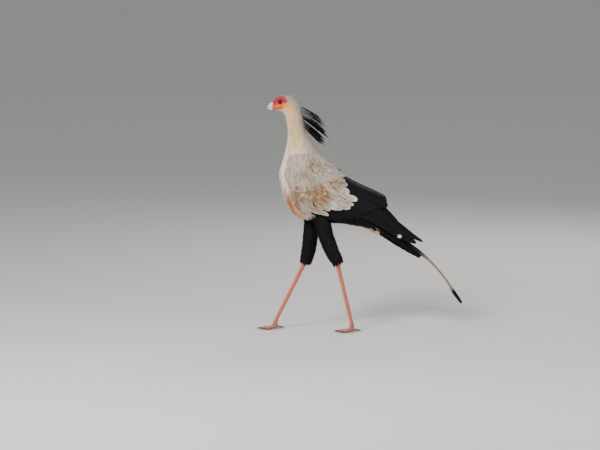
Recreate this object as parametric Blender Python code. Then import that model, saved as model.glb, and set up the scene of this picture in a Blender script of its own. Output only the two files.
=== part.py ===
"""Secretary bird, life size, standing in mid stride: its solids.

Metres, +Z up. The bird faces -X and its left side is at -Y. The origin is on the floor,
midway between the claws of the leading foot and the tip of the tail. Sizes in tables are millimetres.
"""

import math
import random

import bmesh
import bpy
from mathutils import Vector

MM = 0.001
GAP = 0.35 * MM  # air between two nodes that meet face to face
SQUARE = 2.2  # exponent of the body's cross-sections; 2 is an ellipse
FLAT = 5  # exponent of the bill's cross-sections on the side of the mouth
VANE = 0.9 * MM  # thickness of a feather's vane
SEED = 11
SIDES = (("left", -1), ("right", 1))

# Each station of the trunk is a slanted ring: its upper point x, z, its lower point x, z,
# and half its width. Head to neck, breast, belly and rump, as the side view shows them.
TRUNK = (
    (-418, 1110, -418, 1072, 11),
    (-405, 1127, -406, 1069, 17),
    (-390, 1138, -393, 1066, 23),
    (-371, 1143, -381, 1063, 27),
    (-350, 1144, -372, 1059, 29),
    (-326, 1138, -366, 1052, 30),
    (-305, 1120, -361, 1043, 31),
    (-290, 1093, -358, 1032, 31),
    (-279, 1061, -356, 1017, 32),
    (-273, 1027, -353, 1000, 33),
    (-268, 991, -351, 976, 35),
    (-254, 955, -351, 945, 39),
    (-233, 919, -355, 909, 46),
    (-212, 885, -364, 868, 56),
    (-190, 852, -376, 822, 67),
    (-160, 826, -390, 768, 79),
    (-127, 802, -381, 701, 87),
    (-93, 771, -361, 631, 91),
    (-59, 735, -318, 568, 91),
    (-28, 696, -244, 537, 87),
    (1, 657, -160, 527, 77),
    (27, 621, -88, 524, 63),
    (51, 587, -21, 512, 48),
    (73, 556, 37, 498, 34),
    (94, 531, 80, 478, 24),
    (118, 508, 110, 470, 15),
)
HEAD_FACE, HEAD_NECK, NECK_TORSO, TORSO_TAIL, TAIL_BUD = 0, 10, 14, 23, 25

# The folded wing's outer surface, by the same kind of rings, from the shoulder to its tip.
WING = (
    (-190, 852, -376, 822, 67),
    (-160, 826, -390, 768, 84),
    (-127, 802, -381, 701, 98),
    (-93, 776, -361, 631, 105),
    (-55, 750, -318, 568, 106),
    (-11, 725, -244, 534, 103),
    (37, 700, -160, 522, 95),
    (84, 677, -83, 507, 83),
    (128, 649, -11, 486, 69),
    (165, 598, 58, 466, 55),
    (206, 540, 124, 446, 42),
    (258, 488, 192, 428, 30),
    (316, 441, 260, 408, 20),
)

# The bill, base to tip, by rings of the same kind. The two halves meet along the mouth's line.
BILL_UPPER = (
    (-418, 1109.5, -418, 1085, 10.5),
    (-427, 1107, -426, 1083.4, 8.6),
    (-436, 1101, -434, 1080.6, 6.4),
    (-443, 1092, -440, 1076.6, 4.2),
    (-447, 1080, -444, 1071.6, 2.2),
    (-446, 1070, -444, 1069.6, 0.8),
)
BILL_LOWER = (
    (-418, 1084.3, -418, 1072.6, 9.2),
    (-426, 1082.7, -426, 1071.8, 7.4),
    (-433, 1080.2, -433, 1072.2, 5.2),
    (-439, 1076.4, -438.4, 1073.2, 2.4),
)

EYE = (-386, 13.3, 1111)  # the right eye's centre; the left is its mirror image
EYE_RADIUS = 10.5
LID_RADIUS, LID_RIM, LID_HEIGHT = 10.4, 2.4, 0.88  # the lids' ring, its rim and its height over its width
LID_OUT = 6.8  # the lids' ring stands this far out of the eye's centre
BROW = ((-402, 15, 1118), (-394, 20, 1122.5), (-383, 23.5, 1123.5), (-372, 25, 1121.5), (-363, 25, 1117))
BROW_THICK = (0.6, 3, 3.6, 3.2, 0.6)
NOSTRIL = (-412, 10.5, 1101)
GAPE = ((-420, 1084.6), (-378, 1085))  # the mouth's line on the face, x and z of its ends

# Hip, shin, hock and end of each thigh and the joint of its toes: x, y, z.
LEGS = {
    "left": ((-196, -42, 600), (-180, -43, 525), (-164, -41, 465), (-139, -38, 400), (-114, -36, 350)),
    "right": ((-224, 42, 605), (-232, 44, 525), (-239, 48, 460), (-248, 53, 395), (-260, 57, 340)),
}
FEET = {"left": (-40, -30, 38), "right": (-410, 62, 38)}
THIGH_DEPTH = (42, 40, 37, 35, 30)
THIGH_WIDTH = (34, 34, 32, 29, 25)
SHANK_DEPTH = (12, 13, 10, 9, 8.5, 11)
SHANK_FLAT = 0.82  # a shank's width over its depth
HEM_LOCKS = 10

# Each toe: heading from straight ahead in degrees, length, base radius, claw length.
TOES = {
    "middle": (0, 64, 8.5, 23),
    "inner": (32, 46, 8, 25),
    "outer": (-30, 49, 7.5, 20),
    "hind": (172, 25, 7.5, 24),
}
PAD_HEIGHT = 12

# The tail's middle line in side view, and for each pair of feathers the share of it that
# it reaches, its slope down and out in degrees and its half width.
TAIL_LINE = (
    (70, 522),
    (118, 493),
    (190, 446),
    (238, 413),
    (286, 376),
    (334, 332),
    (388, 276),
    (442, 208),
    (498, 137),
)
TAIL_PAIRS = (
    (1.0, 22, 17),
    (0.475, 42, 21),
    (0.44, 48, 20),
    (0.395, 54, 19),
    (0.34, 58, 18),
    (0.28, 62, 17),
)
TAIL_TWIST = 22  # degrees more that the longest pair slopes at its tip

# The tips of the primaries that show, as place and angle on the folded wing.
PRIMARY_TIPS = ((11.8, 48), (11.3, 64), (10.9, 80), (11.6, 100), (10.4, 98))

CREST = 15
CREST_LENGTHS = (112, 156)  # of the outer plumes and of the middle ones


def blend(stations, u):
    """The row at u of a table of stations, on a smooth curve through its rows."""
    last = len(stations) - 1
    u = min(max(u, 0.0), float(last))
    i = min(int(u), last - 1)
    t = u - i
    a, b, c, d = (stations[min(max(k, 0), last)] for k in (i - 1, i, i + 1, i + 2))
    return [
        0.5 * (2 * q + (r - p) * t + (2 * p - 5 * q + 4 * r - s) * t**2 + (3 * q - p - 3 * r + s) * t**3)
        for p, q, r, s in zip(a, b, c, d)
    ]


def ring_point(stations, u, angle, squares=(SQUARE, SQUARE)):
    """The point at u along a table of rings and at an angle from its upper line, positive to the right.

    The squares are the exponents of the ring's upper and lower half.
    """
    upper_x, upper_z, lower_x, lower_z, half = blend(stations, u)
    upper, lower = Vector((upper_x, 0, upper_z)), Vector((lower_x, 0, lower_z))
    square = squares[0] if math.cos(angle) > 0 else squares[1]
    along, across = (math.copysign(abs(v) ** (2 / square), v) for v in (math.cos(angle), math.sin(angle)))
    point = (upper + lower) / 2 + (upper - lower) / 2 * along
    point.y = half * across
    return point * MM


def tangents(stations, u, angle):
    """The surface's two tangents and its outward normal at a place on a table of rings."""
    step = 0.02
    by_u = (ring_point(stations, u + step, angle) - ring_point(stations, u - step, angle)) / (2 * step)
    by_angle = (ring_point(stations, u, angle + step) - ring_point(stations, u, angle - step)) / (2 * step)
    return by_u, by_angle, by_u.cross(by_angle).normalized()


def steps(count):
    return [i / count for i in range(count + 1)]


def closed_slab(upper, lower):
    """A closed body between two grids of points of one size, split into triangles alike on both."""
    mesh = bmesh.new()
    rows, columns = len(upper), len(upper[0])
    tops = [[mesh.verts.new(p) for p in row] for row in upper]
    bottoms = [[mesh.verts.new(p) for p in row] for row in lower]
    for i in range(rows - 1):
        for j in range(columns - 1):
            for net, order in ((tops, 1), (bottoms, -1)):
                a, b, c, d = net[i][j], net[i][j + 1], net[i + 1][j + 1], net[i + 1][j]
                for triangle in ((a, b, c), (a, c, d)):
                    mesh.faces.new(triangle[::order])
    rim = [(0, j) for j in range(columns)]
    rim += [(i, columns - 1) for i in range(1, rows)]
    rim += [(rows - 1, j) for j in range(columns - 2, -1, -1)]
    rim += [(i, 0) for i in range(rows - 2, 0, -1)]
    for (i, j), (k, m) in zip(rim, rim[1:] + rim[:1]):
        mesh.faces.new((tops[k][m], tops[i][j], bottoms[i][j]))
        mesh.faces.new((tops[k][m], bottoms[i][j], bottoms[k][m]))
    bmesh.ops.recalc_face_normals(mesh, faces=mesh.faces)
    return mesh


def skinned(rings, ends):
    """A closed body through rings of points: flat at both ends, or round like a tyre without them."""
    mesh = bmesh.new()
    loops = [[mesh.verts.new(p) for p in ring] for ring in rings]
    following = loops[1:] if ends else loops[1:] + loops[:1]
    for near, far in zip(loops, following):
        for i in range(len(near)):
            j = (i + 1) % len(near)
            mesh.faces.new((near[i], near[j], far[j], far[i]))
    if ends:
        mesh.faces.new(loops[0][::-1])
        mesh.faces.new(loops[-1])
    bmesh.ops.recalc_face_normals(mesh, faces=mesh.faces)
    bmesh.ops.triangulate(mesh, faces=mesh.faces)
    return mesh


def closed_rings(rings):
    return skinned(rings, ends=True)


def trunk_rings(
    stations, start, end, count, sides, swell=0.0, trim=(GAP / 2, GAP / 2), squares=(SQUARE, SQUARE)
):
    """Rings along a table from start to end, swollen by some length, with each end drawn in."""
    rings = []
    for i, t in enumerate(steps(count)):
        u = start + (end - start) * t
        ring = []
        for k in range(sides):
            angle = 2 * math.pi * (k + 0.5) / sides
            point = ring_point(stations, u, angle, squares)
            if swell:
                point += tangents(stations, min(max(u, start + 0.05), end - 0.05), angle)[2] * swell
            ring.append(point)
        upper_x, upper_z, lower_x, lower_z, _ = blend(stations, u)
        slant = Vector((upper_x - lower_x, 0, upper_z - lower_z)).normalized()
        ahead = Vector((0, 1, 0)).cross(slant)
        if ahead.dot(ring_point(stations, end, 0) - ring_point(stations, start, 0)) < 0:
            ahead = -ahead
        if i == 0:
            ring = [p + ahead * trim[0] for p in ring]
        if i == count:
            ring = [p - ahead * trim[1] for p in ring]
        rings.append(ring)
    return rings


def tube_rings(centres, depths, widths, sides=12):
    """Rings square to a path of points; depth is measured in the side view and width across it."""
    rings = []
    for i, centre in enumerate(centres):
        before, after = centres[max(i - 1, 0)], centres[min(i + 1, len(centres) - 1)]
        ahead = (after - before).normalized()
        across = (Vector((0, 1, 0)) - ahead * ahead.y).normalized()
        fore = across.cross(ahead)
        turns = [2 * math.pi * k / sides for k in range(sides)]
        rings.append(
            [centre + fore * depths[i] * math.cos(a) + across * widths[i] * math.sin(a) for a in turns]
        )
    return rings


def upright_rings(path, radii, sides=8):
    """Upright round rings along a path that runs near the floor, square to its heading."""
    ahead = path[-1] - path[0]
    ahead.z = 0
    across = Vector((0, 0, 1)).cross(ahead.normalized())
    up = Vector((0, 0, 1))
    turns = [2 * math.pi * k / sides for k in range(sides)]
    return [
        [centre + (across * math.cos(a) + up * math.sin(a)) * radius for a in turns]
        for centre, radius in zip(path, radii)
    ]


def vane(centres, sides, normals, droop=0.0, thick=VANE):
    """A feather's vane: a thin closed body along its shaft, with both edges lower than the shaft."""
    upper, lower = [], []
    for centre, side, normal in zip(centres, sides, normals):
        drop = normal * side.length * droop
        line = [centre - side - drop, centre, centre + side - drop]
        upper.append([p + normal * thick / 2 for p in line])
        lower.append([p - normal * thick / 2 for p in line])
    return closed_slab(upper, lower)


def laid_vane(stations, side, root, tip, half_width, lift, tilt, shape):
    """A vane that follows a surface from root to tip, each given as place and angle in degrees.

    It stands lift over the surface, is sunk into it at its root, and shape is its width along it.
    """
    sink = 6 * MM
    upper, lower = [], []
    for t, share in zip(steps(len(shape) - 1), shape):
        u = root[0] + (tip[0] - root[0]) * t
        angle = side * math.radians(root[1] + (tip[1] - root[1]) * t)
        by_u, by_angle, normal = tangents(stations, u, angle)
        heading = by_u * (tip[0] - root[0]) + by_angle * side * math.radians(tip[1] - root[1])
        across = normal.cross(heading).normalized() * side
        uu, ua, aa = by_u.dot(by_u), by_u.dot(by_angle), by_angle.dot(by_angle)
        first, second = across.dot(by_u), across.dot(by_angle)
        spread = uu * aa - ua * ua
        go_u, go_angle = (first * aa - second * ua) / spread, (second * uu - first * ua) / spread
        height = lift - sink * max(0.0, 1 - 4 * t)
        tops, bottoms = [], []
        for s in (-1, 0, 1):
            away = s * half_width * share
            place = ring_point(stations, u + go_u * away, angle + go_angle * away)
            place += normal * (height + tilt * away)
            tops.append(place + normal * VANE / 2)
            bottoms.append(place - normal * VANE / 2)
        upper.append(tops)
        lower.append(bottoms)
    return closed_slab(upper, lower)


def ball(centre, radius, scale=(1, 1, 1), rings=8):
    mesh = bmesh.new()
    bmesh.ops.create_uvsphere(mesh, u_segments=2 * rings, v_segments=rings, radius=radius)
    bmesh.ops.scale(mesh, vec=Vector(scale), verts=mesh.verts)
    bmesh.ops.translate(mesh, vec=centre, verts=mesh.verts)
    bmesh.ops.triangulate(mesh, faces=mesh.faces)
    return mesh


def mirrored(point, side):
    """A point given in millimetres for the right side, on the side that is asked for."""
    return Vector((point[0], point[1] * side, point[2])) * MM


def as_object(name, mesh, paint=None):
    data = bpy.data.meshes.new(name)
    mesh.to_mesh(data)
    mesh.free()
    made = bpy.data.objects.new(name, data)
    bpy.context.scene.collection.objects.link(made)
    if paint:
        data.materials.append(paint)
    return made


def applied(obj, operation, pieces):
    """obj with a collection of closed pieces joined to it or cut from it, in one Boolean."""
    group = bpy.data.collections.new("pieces")
    helpers = [as_object("piece", piece) for piece in pieces]
    for helper in helpers:
        bpy.context.scene.collection.objects.unlink(helper)
        group.objects.link(helper)
    cut = obj.modifiers.new("Boolean", "BOOLEAN")
    cut.operation = operation
    cut.operand_type = "COLLECTION"
    cut.collection = group
    result = bpy.data.meshes.new_from_object(obj.evaluated_get(bpy.context.evaluated_depsgraph_get()))
    obj.modifiers.clear()
    old, obj.data = obj.data, result
    bpy.data.meshes.remove(old)
    for helper in helpers:
        bpy.data.objects.remove(helper)
    bpy.data.collections.remove(group)


def keep_largest(obj):
    """Drops every closed surface of obj but the one that encloses most."""
    mesh = bmesh.new()
    mesh.from_mesh(obj.data)
    left, best, best_volume = set(mesh.faces), [], -1.0
    while left:
        island, todo = set(), [next(iter(left))]
        while todo:
            face = todo.pop()
            if face in island:
                continue
            island.add(face)
            todo += [other for edge in face.edges for other in edge.link_faces if other not in island]
        left -= island
        volume = abs(sum(f.calc_center_median().dot(f.normal) * f.calc_area() for f in island)) / 3
        if volume > best_volume:
            best, best_volume = island, volume
    bmesh.ops.delete(mesh, geom=[f for f in mesh.faces if f not in best], context="FACES")
    bmesh.ops.triangulate(mesh, faces=mesh.faces)
    mesh.to_mesh(obj.data)
    mesh.free()


def node(name, pieces, paint, cutters=()):
    """One named node: its pieces joined, then its neighbours' swollen shapes cut from it."""
    obj = as_object(name, pieces[0], paint)
    if len(pieces) > 1:
        applied(obj, "UNION", pieces[1:])
    if cutters:
        applied(obj, "DIFFERENCE", cutters)
    keep_largest(obj)
    obj.data.shade_smooth()
    obj.data.set_sharp_from_angle(angle=math.radians(40))
    return obj


def paint(name, colour, roughness):
    made = bpy.data.materials.new(name)
    made.use_nodes = True
    shader = made.node_tree.nodes["Principled BSDF"]
    shader.inputs["Base Color"].default_value = (*colour, 1)
    shader.inputs["Roughness"].default_value = roughness
    return made


def trunk_part(start, end, count, sides, swell=0.0, trim=(GAP / 2, GAP / 2)):
    return closed_rings(trunk_rings(TRUNK, start, end, count, sides, swell, trim))


def torso_cutter():
    """The torso swollen by the gap, to cut what lies on it."""
    return trunk_part(NECK_TORSO, TORSO_TAIL, 14, 20, GAP, (0, 0))


def eye_cutter(side):
    return ball(mirrored(EYE, side), EYE_RADIUS * MM + GAP, rings=7)


def lids(side):
    """A ring of lid round the eye, turned to face outwards."""
    rings = []
    for i in range(16):
        turn = 2 * math.pi * i / 16
        out = Vector((math.cos(turn), 0, math.sin(turn)))
        x = EYE[0] + LID_RADIUS * math.cos(turn)
        z = EYE[2] + LID_RADIUS * LID_HEIGHT * math.sin(turn)
        centre = mirrored((x, EYE[1] + LID_OUT, z), side)
        facets = [2 * math.pi * k / 6 for k in range(6)]
        rim = [out * math.cos(a) + Vector((0, math.sin(a), 0)) for a in facets]
        rings.append([centre + r * LID_RIM * MM for r in rim])
    return skinned(rings, ends=False)


def brow(side):
    """The ridge that shades each eye."""
    thick = [t * MM for t in BROW_THICK]
    return closed_rings(tube_rings([mirrored(point, side) for point in BROW], thick, thick, 8))


def gape_cutter(side):
    """The line of the mouth, from the bill's corner back under the eye."""
    (front_x, front_z), (back_x, back_z) = GAPE
    upper, lower = [], []
    for t in steps(4):
        x, z = front_x + (back_x - front_x) * t, front_z + (back_z - front_z) * t
        for row, height in ((upper, z + 0.7), (lower, z - 0.7)):
            row.append([mirrored((x, 8 + 13.5 * t, height), side), mirrored((x, 36, height), side)])
    return closed_slab(upper, lower)


def nostril_cutter(side):
    return ball(mirrored(NOSTRIL, side), 1 * MM, (2.6, 3.5, 1.2), rings=6)


def crest_feather(index, rng):
    """One long plume of the crest: narrow at the nape, broad near its end."""
    share = index / (CREST - 1)
    place = 7.0 + 2.6 * share
    angle = math.radians((34 - 10 * share) * math.sin(2.4 * index + 0.4))
    root = ring_point(TRUNK, place, angle)
    normal = tangents(TRUNK, place, angle)[2]
    fall = math.radians(33 + 12 * share + rng.uniform(-2.5, 2.5))
    short, long = CREST_LENGTHS
    length = (short + (long - short) * math.sin(math.pi * share)) * rng.uniform(0.9, 1.06) * MM
    out = Vector((0, root.y * 0.55, 0))
    heading = Vector((math.cos(fall), 0, -math.sin(fall)))
    bend = Vector((0, 0, -0.05 * length))
    roll = math.radians(90 * math.copysign(1, angle) * rng.uniform(0.25, 0.7))
    centres, sides, normals = [], [], []
    for t, half in zip(steps(3), (3, 6, 9, 4)):
        across = Vector((0, math.cos(roll), math.sin(roll)))
        centres.append(root - normal * 6 * MM + heading * length * t + out * t + bend * t * t)
        sides.append(across * half * MM)
        normals.append(across.cross(heading).normalized())
    return vane(centres, sides, normals, 0.15)


def make_head(skin):
    rng = random.Random(SEED)
    pieces = [trunk_part(HEAD_FACE, HEAD_NECK, 13, 20, trim=(0, GAP / 2))]
    for _, side in SIDES:
        pieces += [lids(side), brow(side)]
    pieces += [crest_feather(i, rng) for i in range(CREST)]
    cutters = [make(side) for make in (eye_cutter, gape_cutter, nostril_cutter) for _, side in SIDES]
    cutters.append(trunk_part(HEAD_NECK, NECK_TORSO, 6, 20, GAP, (0, 0)))
    node("head", pieces, skin, cutters)


def make_bill(horn):
    """Both halves of the bill, rounded outside and flat where they meet."""
    for name, table, squares in (
        ("bill_upper", BILL_UPPER, (SQUARE, FLAT)),
        ("bill_lower", BILL_LOWER, (FLAT, SQUARE)),
    ):
        last = len(table) - 1
        rings = trunk_rings(table, 0, last, 2 * last, 12, trim=(GAP, 0), squares=squares)
        node(name, [closed_rings(rings)], horn)


def make_eyes(glass):
    for word, side in SIDES:
        node(f"eye_{word}", [ball(mirrored(EYE, side), EYE_RADIUS * MM, rings=7)], glass)


def wing_edges(u):
    """The angles, in degrees from the back's middle line, between which the folded wing lies."""
    return 15 + 4 * abs(u - 2.5), 116 + 18 * math.sin(math.pi * min(max((u - 0.8) / 5.4, 0), 1))


def wing_core(side):
    """The folded arm under the coverts, sunk into the torso, which is then cut from it."""
    outer, inner = [], []
    for s in steps(8):
        low, high = wing_edges(0.9 + 4.8 * s)
        outer_row, inner_row = [], []
        for t in steps(7):
            u = 0.9 + 4.8 * s + 0.8 * (1 - s) * (2 * t - 1) ** 2
            angle = side * math.radians(low + (high - low) * t)
            point = ring_point(WING, u, angle)
            normal = (point - ring_point(WING, u, angle + math.pi)).normalized()
            inside = 0 < s < 1 and 0 < t < 1
            swell = 2 * (math.sin(math.pi * s) * math.sin(math.pi * t)) ** 0.5 if inside else 0
            outer_row.append(point + normal * (swell - 1) * MM)
            inner_row.append(point - normal * 26 * MM)
        outer.append(outer_row)
        inner.append(inner_row)
    return closed_slab(outer, inner)


def covert_rear(degrees):
    """Where the greater coverts end: the edge between the pale and the black of the wing."""
    low_down = min(max((degrees - 90) / 40, 0), 1)
    return 3.4 + 2.85 * math.exp(-(((degrees - 80) / 40) ** 2)) + 0.6 * low_down


def wing_feathers(side, rng):
    """Vanes in tiers: long primaries lowest, then secondaries, tertials and two rows of coverts."""

    def row(roots, tips, half_width, lift, tilt, shape):
        for root, tip in zip(roots, tips):
            end = (tip[0] + rng.uniform(-0.12, 0.12), tip[1] + rng.uniform(-1, 1))
            yield laid_vane(WING, side, root, end, half_width * MM, lift * MM, tilt, shape)

    def spread(count, first, last):
        """Places and angles at even steps from a first to a last one."""
        return [[a + (b - a) * t for a, b in zip(first, last)] for t in steps(count - 1)]

    pointed, blunt, short = (0.5, 1, 1, 0.85, 0.25), (0.45, 0.9, 1, 0.95, 0.35), (0.6, 1, 0.95, 0.4)
    yield from row(spread(5, (5.2, 72), (5.2, 98)), PRIMARY_TIPS, 15, -11, 0.2, pointed)
    yield from row(spread(8, (4.3, 36), (4, 118)), spread(8, (8.5, 44), (6.4, 122)), 27, -4, 0.1, blunt)
    yield from row(spread(5, (3.2, 14), (3.4, 51)), spread(5, (7.8, 19), (8.3, 48)), 20, 2.5, 0.14, blunt)
    for drop, count, lift in ((0.0, 8, 4), (1.15, 7, 6)):
        angles = [18 + 108 * t for t in steps(count - 1)]
        roots = [(covert_rear(a) - drop - 1.7, a) for a in angles]
        tips = [(covert_rear(a) - drop, a) for a in angles]
        yield from row(roots, tips, 23, lift, 0.07, short)


def make_wing(word, side, plumage, seed):
    pieces = [wing_core(side), *wing_feathers(side, random.Random(seed))]
    node(f"wing_{word}", pieces, plumage, [torso_cutter(), thigh_body(word, GAP)])


def tail_point(t):
    """The tail's middle line in side view, t from 0 at its root to 1 at the tip of the longest pair."""
    spans = [math.dist(a, b) for a, b in zip(TAIL_LINE, TAIL_LINE[1:])]
    left = t * sum(spans)
    for i, span in enumerate(spans):
        if left <= span or i == len(spans) - 1:
            x, z = blend(TAIL_LINE, i + left / span)
            return Vector((x, 0, z)) * MM
        left -= span


def tail_feather(pair, side):
    """One tail feather: its inner edge runs near the middle line, and it slopes down and out."""
    end, slope, half = TAIL_PAIRS[pair]
    longest = pair == 0
    centres, sides, normals = [], [], []
    for t in steps(8 if longest else 4):
        place = tail_point(0.02 + (end - 0.02) * t)
        ahead = (tail_point(min(0.03 + end * t, 1)) - tail_point(0.01 + (end - 0.03) * t)).normalized()
        down = Vector((0, 1, 0)).cross(ahead)
        down = down if down.z < 0 else -down
        roll = math.radians(slope + (TAIL_TWIST * t if longest else 0))
        narrow = 1 - 0.3 * t if longest else 1.0
        share = (0.3 + 0.7 * min(t / 0.25, 1)) * narrow * (0.4 if t == 1 else 1)
        across = Vector((0, side, 0)) * math.cos(roll) + down * math.sin(roll)
        rise = 13 * min(1, 2 - 2 * t) if longest else 10 - 2.6 * pair
        inner = place + Vector((0, side * (1.2 + 2.2 * pair) * MM, 0)) - down * rise * MM
        centres.append(inner + across * half * share * MM)
        sides.append(across * half * share * MM)
        normals.append(across.cross(ahead).normalized() * side)
    return vane(centres, sides, normals, 0.06)


def make_tail(plumage):
    bud = trunk_part(TORSO_TAIL, TAIL_BUD, 5, 16, trim=(GAP / 2, 0))
    feathers = [tail_feather(pair, side) for pair in range(len(TAIL_PAIRS)) for _, side in SIDES]
    node("tail", [bud, *feathers], plumage, [torso_cutter()])


def leg_points(word):
    return [Vector(p) * MM for p in LEGS[word]]


def thigh_body(word, swell=0.0):
    depths, widths = ([d * MM + swell for d in row] for row in (THIGH_DEPTH, THIGH_WIDTH))
    return closed_rings(tube_rings(leg_points(word), depths, widths, 16))


def hem_lock(word, index, rng):
    """One lock of the shaggy hem of the thigh, hanging over the hock."""
    knee, hock = leg_points(word)[-2:]
    down = (hock - knee).normalized()
    across = (Vector((0, 1, 0)) - down * down.y).normalized()
    fore = across.cross(down)
    a = 2 * math.pi * (index + rng.uniform(-0.2, 0.2)) / HEM_LOCKS
    out = fore * math.cos(a) * THIGH_DEPTH[-1] * MM + across * math.sin(a) * THIGH_WIDTH[-1] * MM
    normal = out.normalized()
    side = normal.cross(down) * 8 * MM
    length = rng.uniform(0.85, 1.15)
    centres = [
        hock + out * spread + down * reach * MM * length
        for spread, reach in ((0.86, -30), (0.98, -12), (0.98, 8), (0.84, 24))
    ]
    sides = [side * share for share in (0.9, 1.1, 0.9, 0.25)]
    return vane(centres, sides, [normal] * 4, 0.2, 1.6 * MM)


def make_leg(word, side, plumage, scales, horn, seed):
    rng = random.Random(seed)
    knee, hock = leg_points(word)[-2:]
    locks = [hem_lock(word, i, rng) for i in range(HEM_LOCKS)]
    node(f"thigh_{word}", [thigh_body(word), *locks], plumage, [torso_cutter()])
    down = (hock - knee).normalized()
    joint = Vector(FEET[word]) * MM
    top = hock + down * GAP
    run = (joint - hock).normalized()
    bend = top + (down + run).normalized() * 14 * MM
    path = [top, bend, hock + run * 34 * MM, hock.lerp(joint, 0.45), joint - run * 22 * MM, joint]
    depths = [d * MM for d in SHANK_DEPTH]
    rings = tube_rings(path, depths, [d * SHANK_FLAT for d in depths], 12)
    rings[0] = [p - down * (p - top).dot(down) for p in rings[0]]
    node(f"shank_{word}", [closed_rings(rings)], scales)
    make_foot(word, joint, run, side, scales, horn)


def make_foot(word, joint, run, side, scales, horn):
    """Toes and their pads, cut flat on the floor, with each claw as its own node."""
    base = joint + run * GAP
    pad = Vector((joint.x - 2 * MM, joint.y, PAD_HEIGHT * MM))
    centres = [base, base.lerp(pad, 0.6), pad, pad - Vector((0, 0, PAD_HEIGHT * 1.04 * MM))]
    ankle = tube_rings(centres, [d * MM for d in (11, 12, 14, 10)], [w * MM for w in (9, 11, 13, 9)], 12)
    ankle[0] = [p - run * (p - base).dot(run) for p in ankle[0]]
    pieces = [closed_rings(ankle)]
    floor = bmesh.new()
    bmesh.ops.create_cube(floor, size=1)
    bmesh.ops.scale(floor, vec=(0.4, 0.4, 0.1), verts=floor.verts)
    bmesh.ops.translate(floor, vec=(joint.x, joint.y, -0.05), verts=floor.verts)
    for toe, (heading, length, radius, claw) in TOES.items():
        turn = math.radians(heading) * side
        ahead = Vector((-math.cos(turn), -math.sin(turn), 0))
        raised = toe == "hind"
        heights = (20, 17, 14, 12) if raised else (13, 10, 7, 6.5)
        path = [
            Vector((pad.x, pad.y, h * MM)) + ahead * (6 + (length - 6) * t) * MM
            for t, h in zip(steps(3), heights)
        ]
        radii = [radius * s * MM for s in (1, 0.92, 1.02, 0.82)]
        pieces.append(closed_rings(upright_rings(path, radii)))
        tip = path[-1] + ahead * GAP
        drop = (0, 0.5, -2, -7) if raised else (0, 1.5, 0.5, -3)
        claw_path = [tip + (ahead * claw * t + Vector((0, 0, d))) * MM for t, d in zip(steps(3), drop)]
        claw_radii = [r * radii[-1] for r in (0.78, 0.66, 0.46, 0.14)]
        node(f"claw_{word}_{toe}", [closed_rings(upright_rings(claw_path, claw_radii))], horn, [floor.copy()])
    node(f"foot_{word}", pieces, scales, [floor])


def main():
    for obj in list(bpy.data.objects):
        bpy.data.objects.remove(obj)
    pale = paint("pale_grey_feathers", (0.55, 0.5, 0.44), 0.85)
    black = paint("black_feathers", (0.02, 0.02, 0.022), 0.7)
    scales = paint("pink_leg_scales", (0.62, 0.3, 0.22), 0.6)
    horn = paint("grey_horn", (0.35, 0.36, 0.38), 0.4)
    glass = paint("dark_eye", (0.03, 0.02, 0.012), 0.1)
    make_head(pale)
    make_bill(horn)
    make_eyes(glass)
    node("neck", [trunk_part(HEAD_NECK, NECK_TORSO, 6, 20)], pale)
    node("torso", [trunk_part(NECK_TORSO, TORSO_TAIL, 14, 20)], pale)
    for seed, (word, side) in enumerate(SIDES, SEED + 1):
        make_wing(word, side, black, seed)
        make_leg(word, -side, black, scales, horn, seed + 2)
    make_tail(black)


main()
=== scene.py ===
"""The looks of a life-size secretary bird: skin, feathers, horn, scales and eyes over its solids.

The bird faces -X, its left side is at -Y and the floor is Z = 0. Tables of stations are in
millimetres, in the frame of the solids; everything that is made from them is in metres.
"""

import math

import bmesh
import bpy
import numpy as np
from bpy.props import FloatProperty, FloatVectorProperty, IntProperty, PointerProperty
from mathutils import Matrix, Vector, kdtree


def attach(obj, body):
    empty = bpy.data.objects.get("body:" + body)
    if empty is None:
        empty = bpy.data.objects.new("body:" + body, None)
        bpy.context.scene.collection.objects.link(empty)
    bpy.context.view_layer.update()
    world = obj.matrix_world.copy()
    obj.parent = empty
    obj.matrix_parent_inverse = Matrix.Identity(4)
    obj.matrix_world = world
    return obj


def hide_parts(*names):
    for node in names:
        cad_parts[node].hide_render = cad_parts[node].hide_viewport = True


bl_info = {
    "name": "Secretary Bird",
    "version": (1, 0, 0),
    "blender": (4, 5, 0),
    "location": "3D View > Sidebar > Bird",
    "description": "Dresses a life-size secretary bird in skin, feathers, horn and scales",
    "category": "Add Mesh",
}

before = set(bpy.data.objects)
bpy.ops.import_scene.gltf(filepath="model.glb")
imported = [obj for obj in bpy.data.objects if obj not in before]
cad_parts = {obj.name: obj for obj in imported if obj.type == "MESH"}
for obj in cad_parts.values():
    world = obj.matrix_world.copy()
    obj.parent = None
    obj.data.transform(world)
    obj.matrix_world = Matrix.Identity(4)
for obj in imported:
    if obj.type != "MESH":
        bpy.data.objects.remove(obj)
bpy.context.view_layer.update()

MM = 0.001
BODY = "root"
SQUARE = 2.2  # exponent of the body's cross-sections; 2 is an ellipse
FLAT = 5  # exponent of the bill's cross-sections on the side of the mouth
# Flesh is grown together in cubes of these sizes in millimetres.
BODY_VOXEL = 5
LEG_VOXEL = 1.4
SIDES = (("left", -1), ("right", 1))

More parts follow.
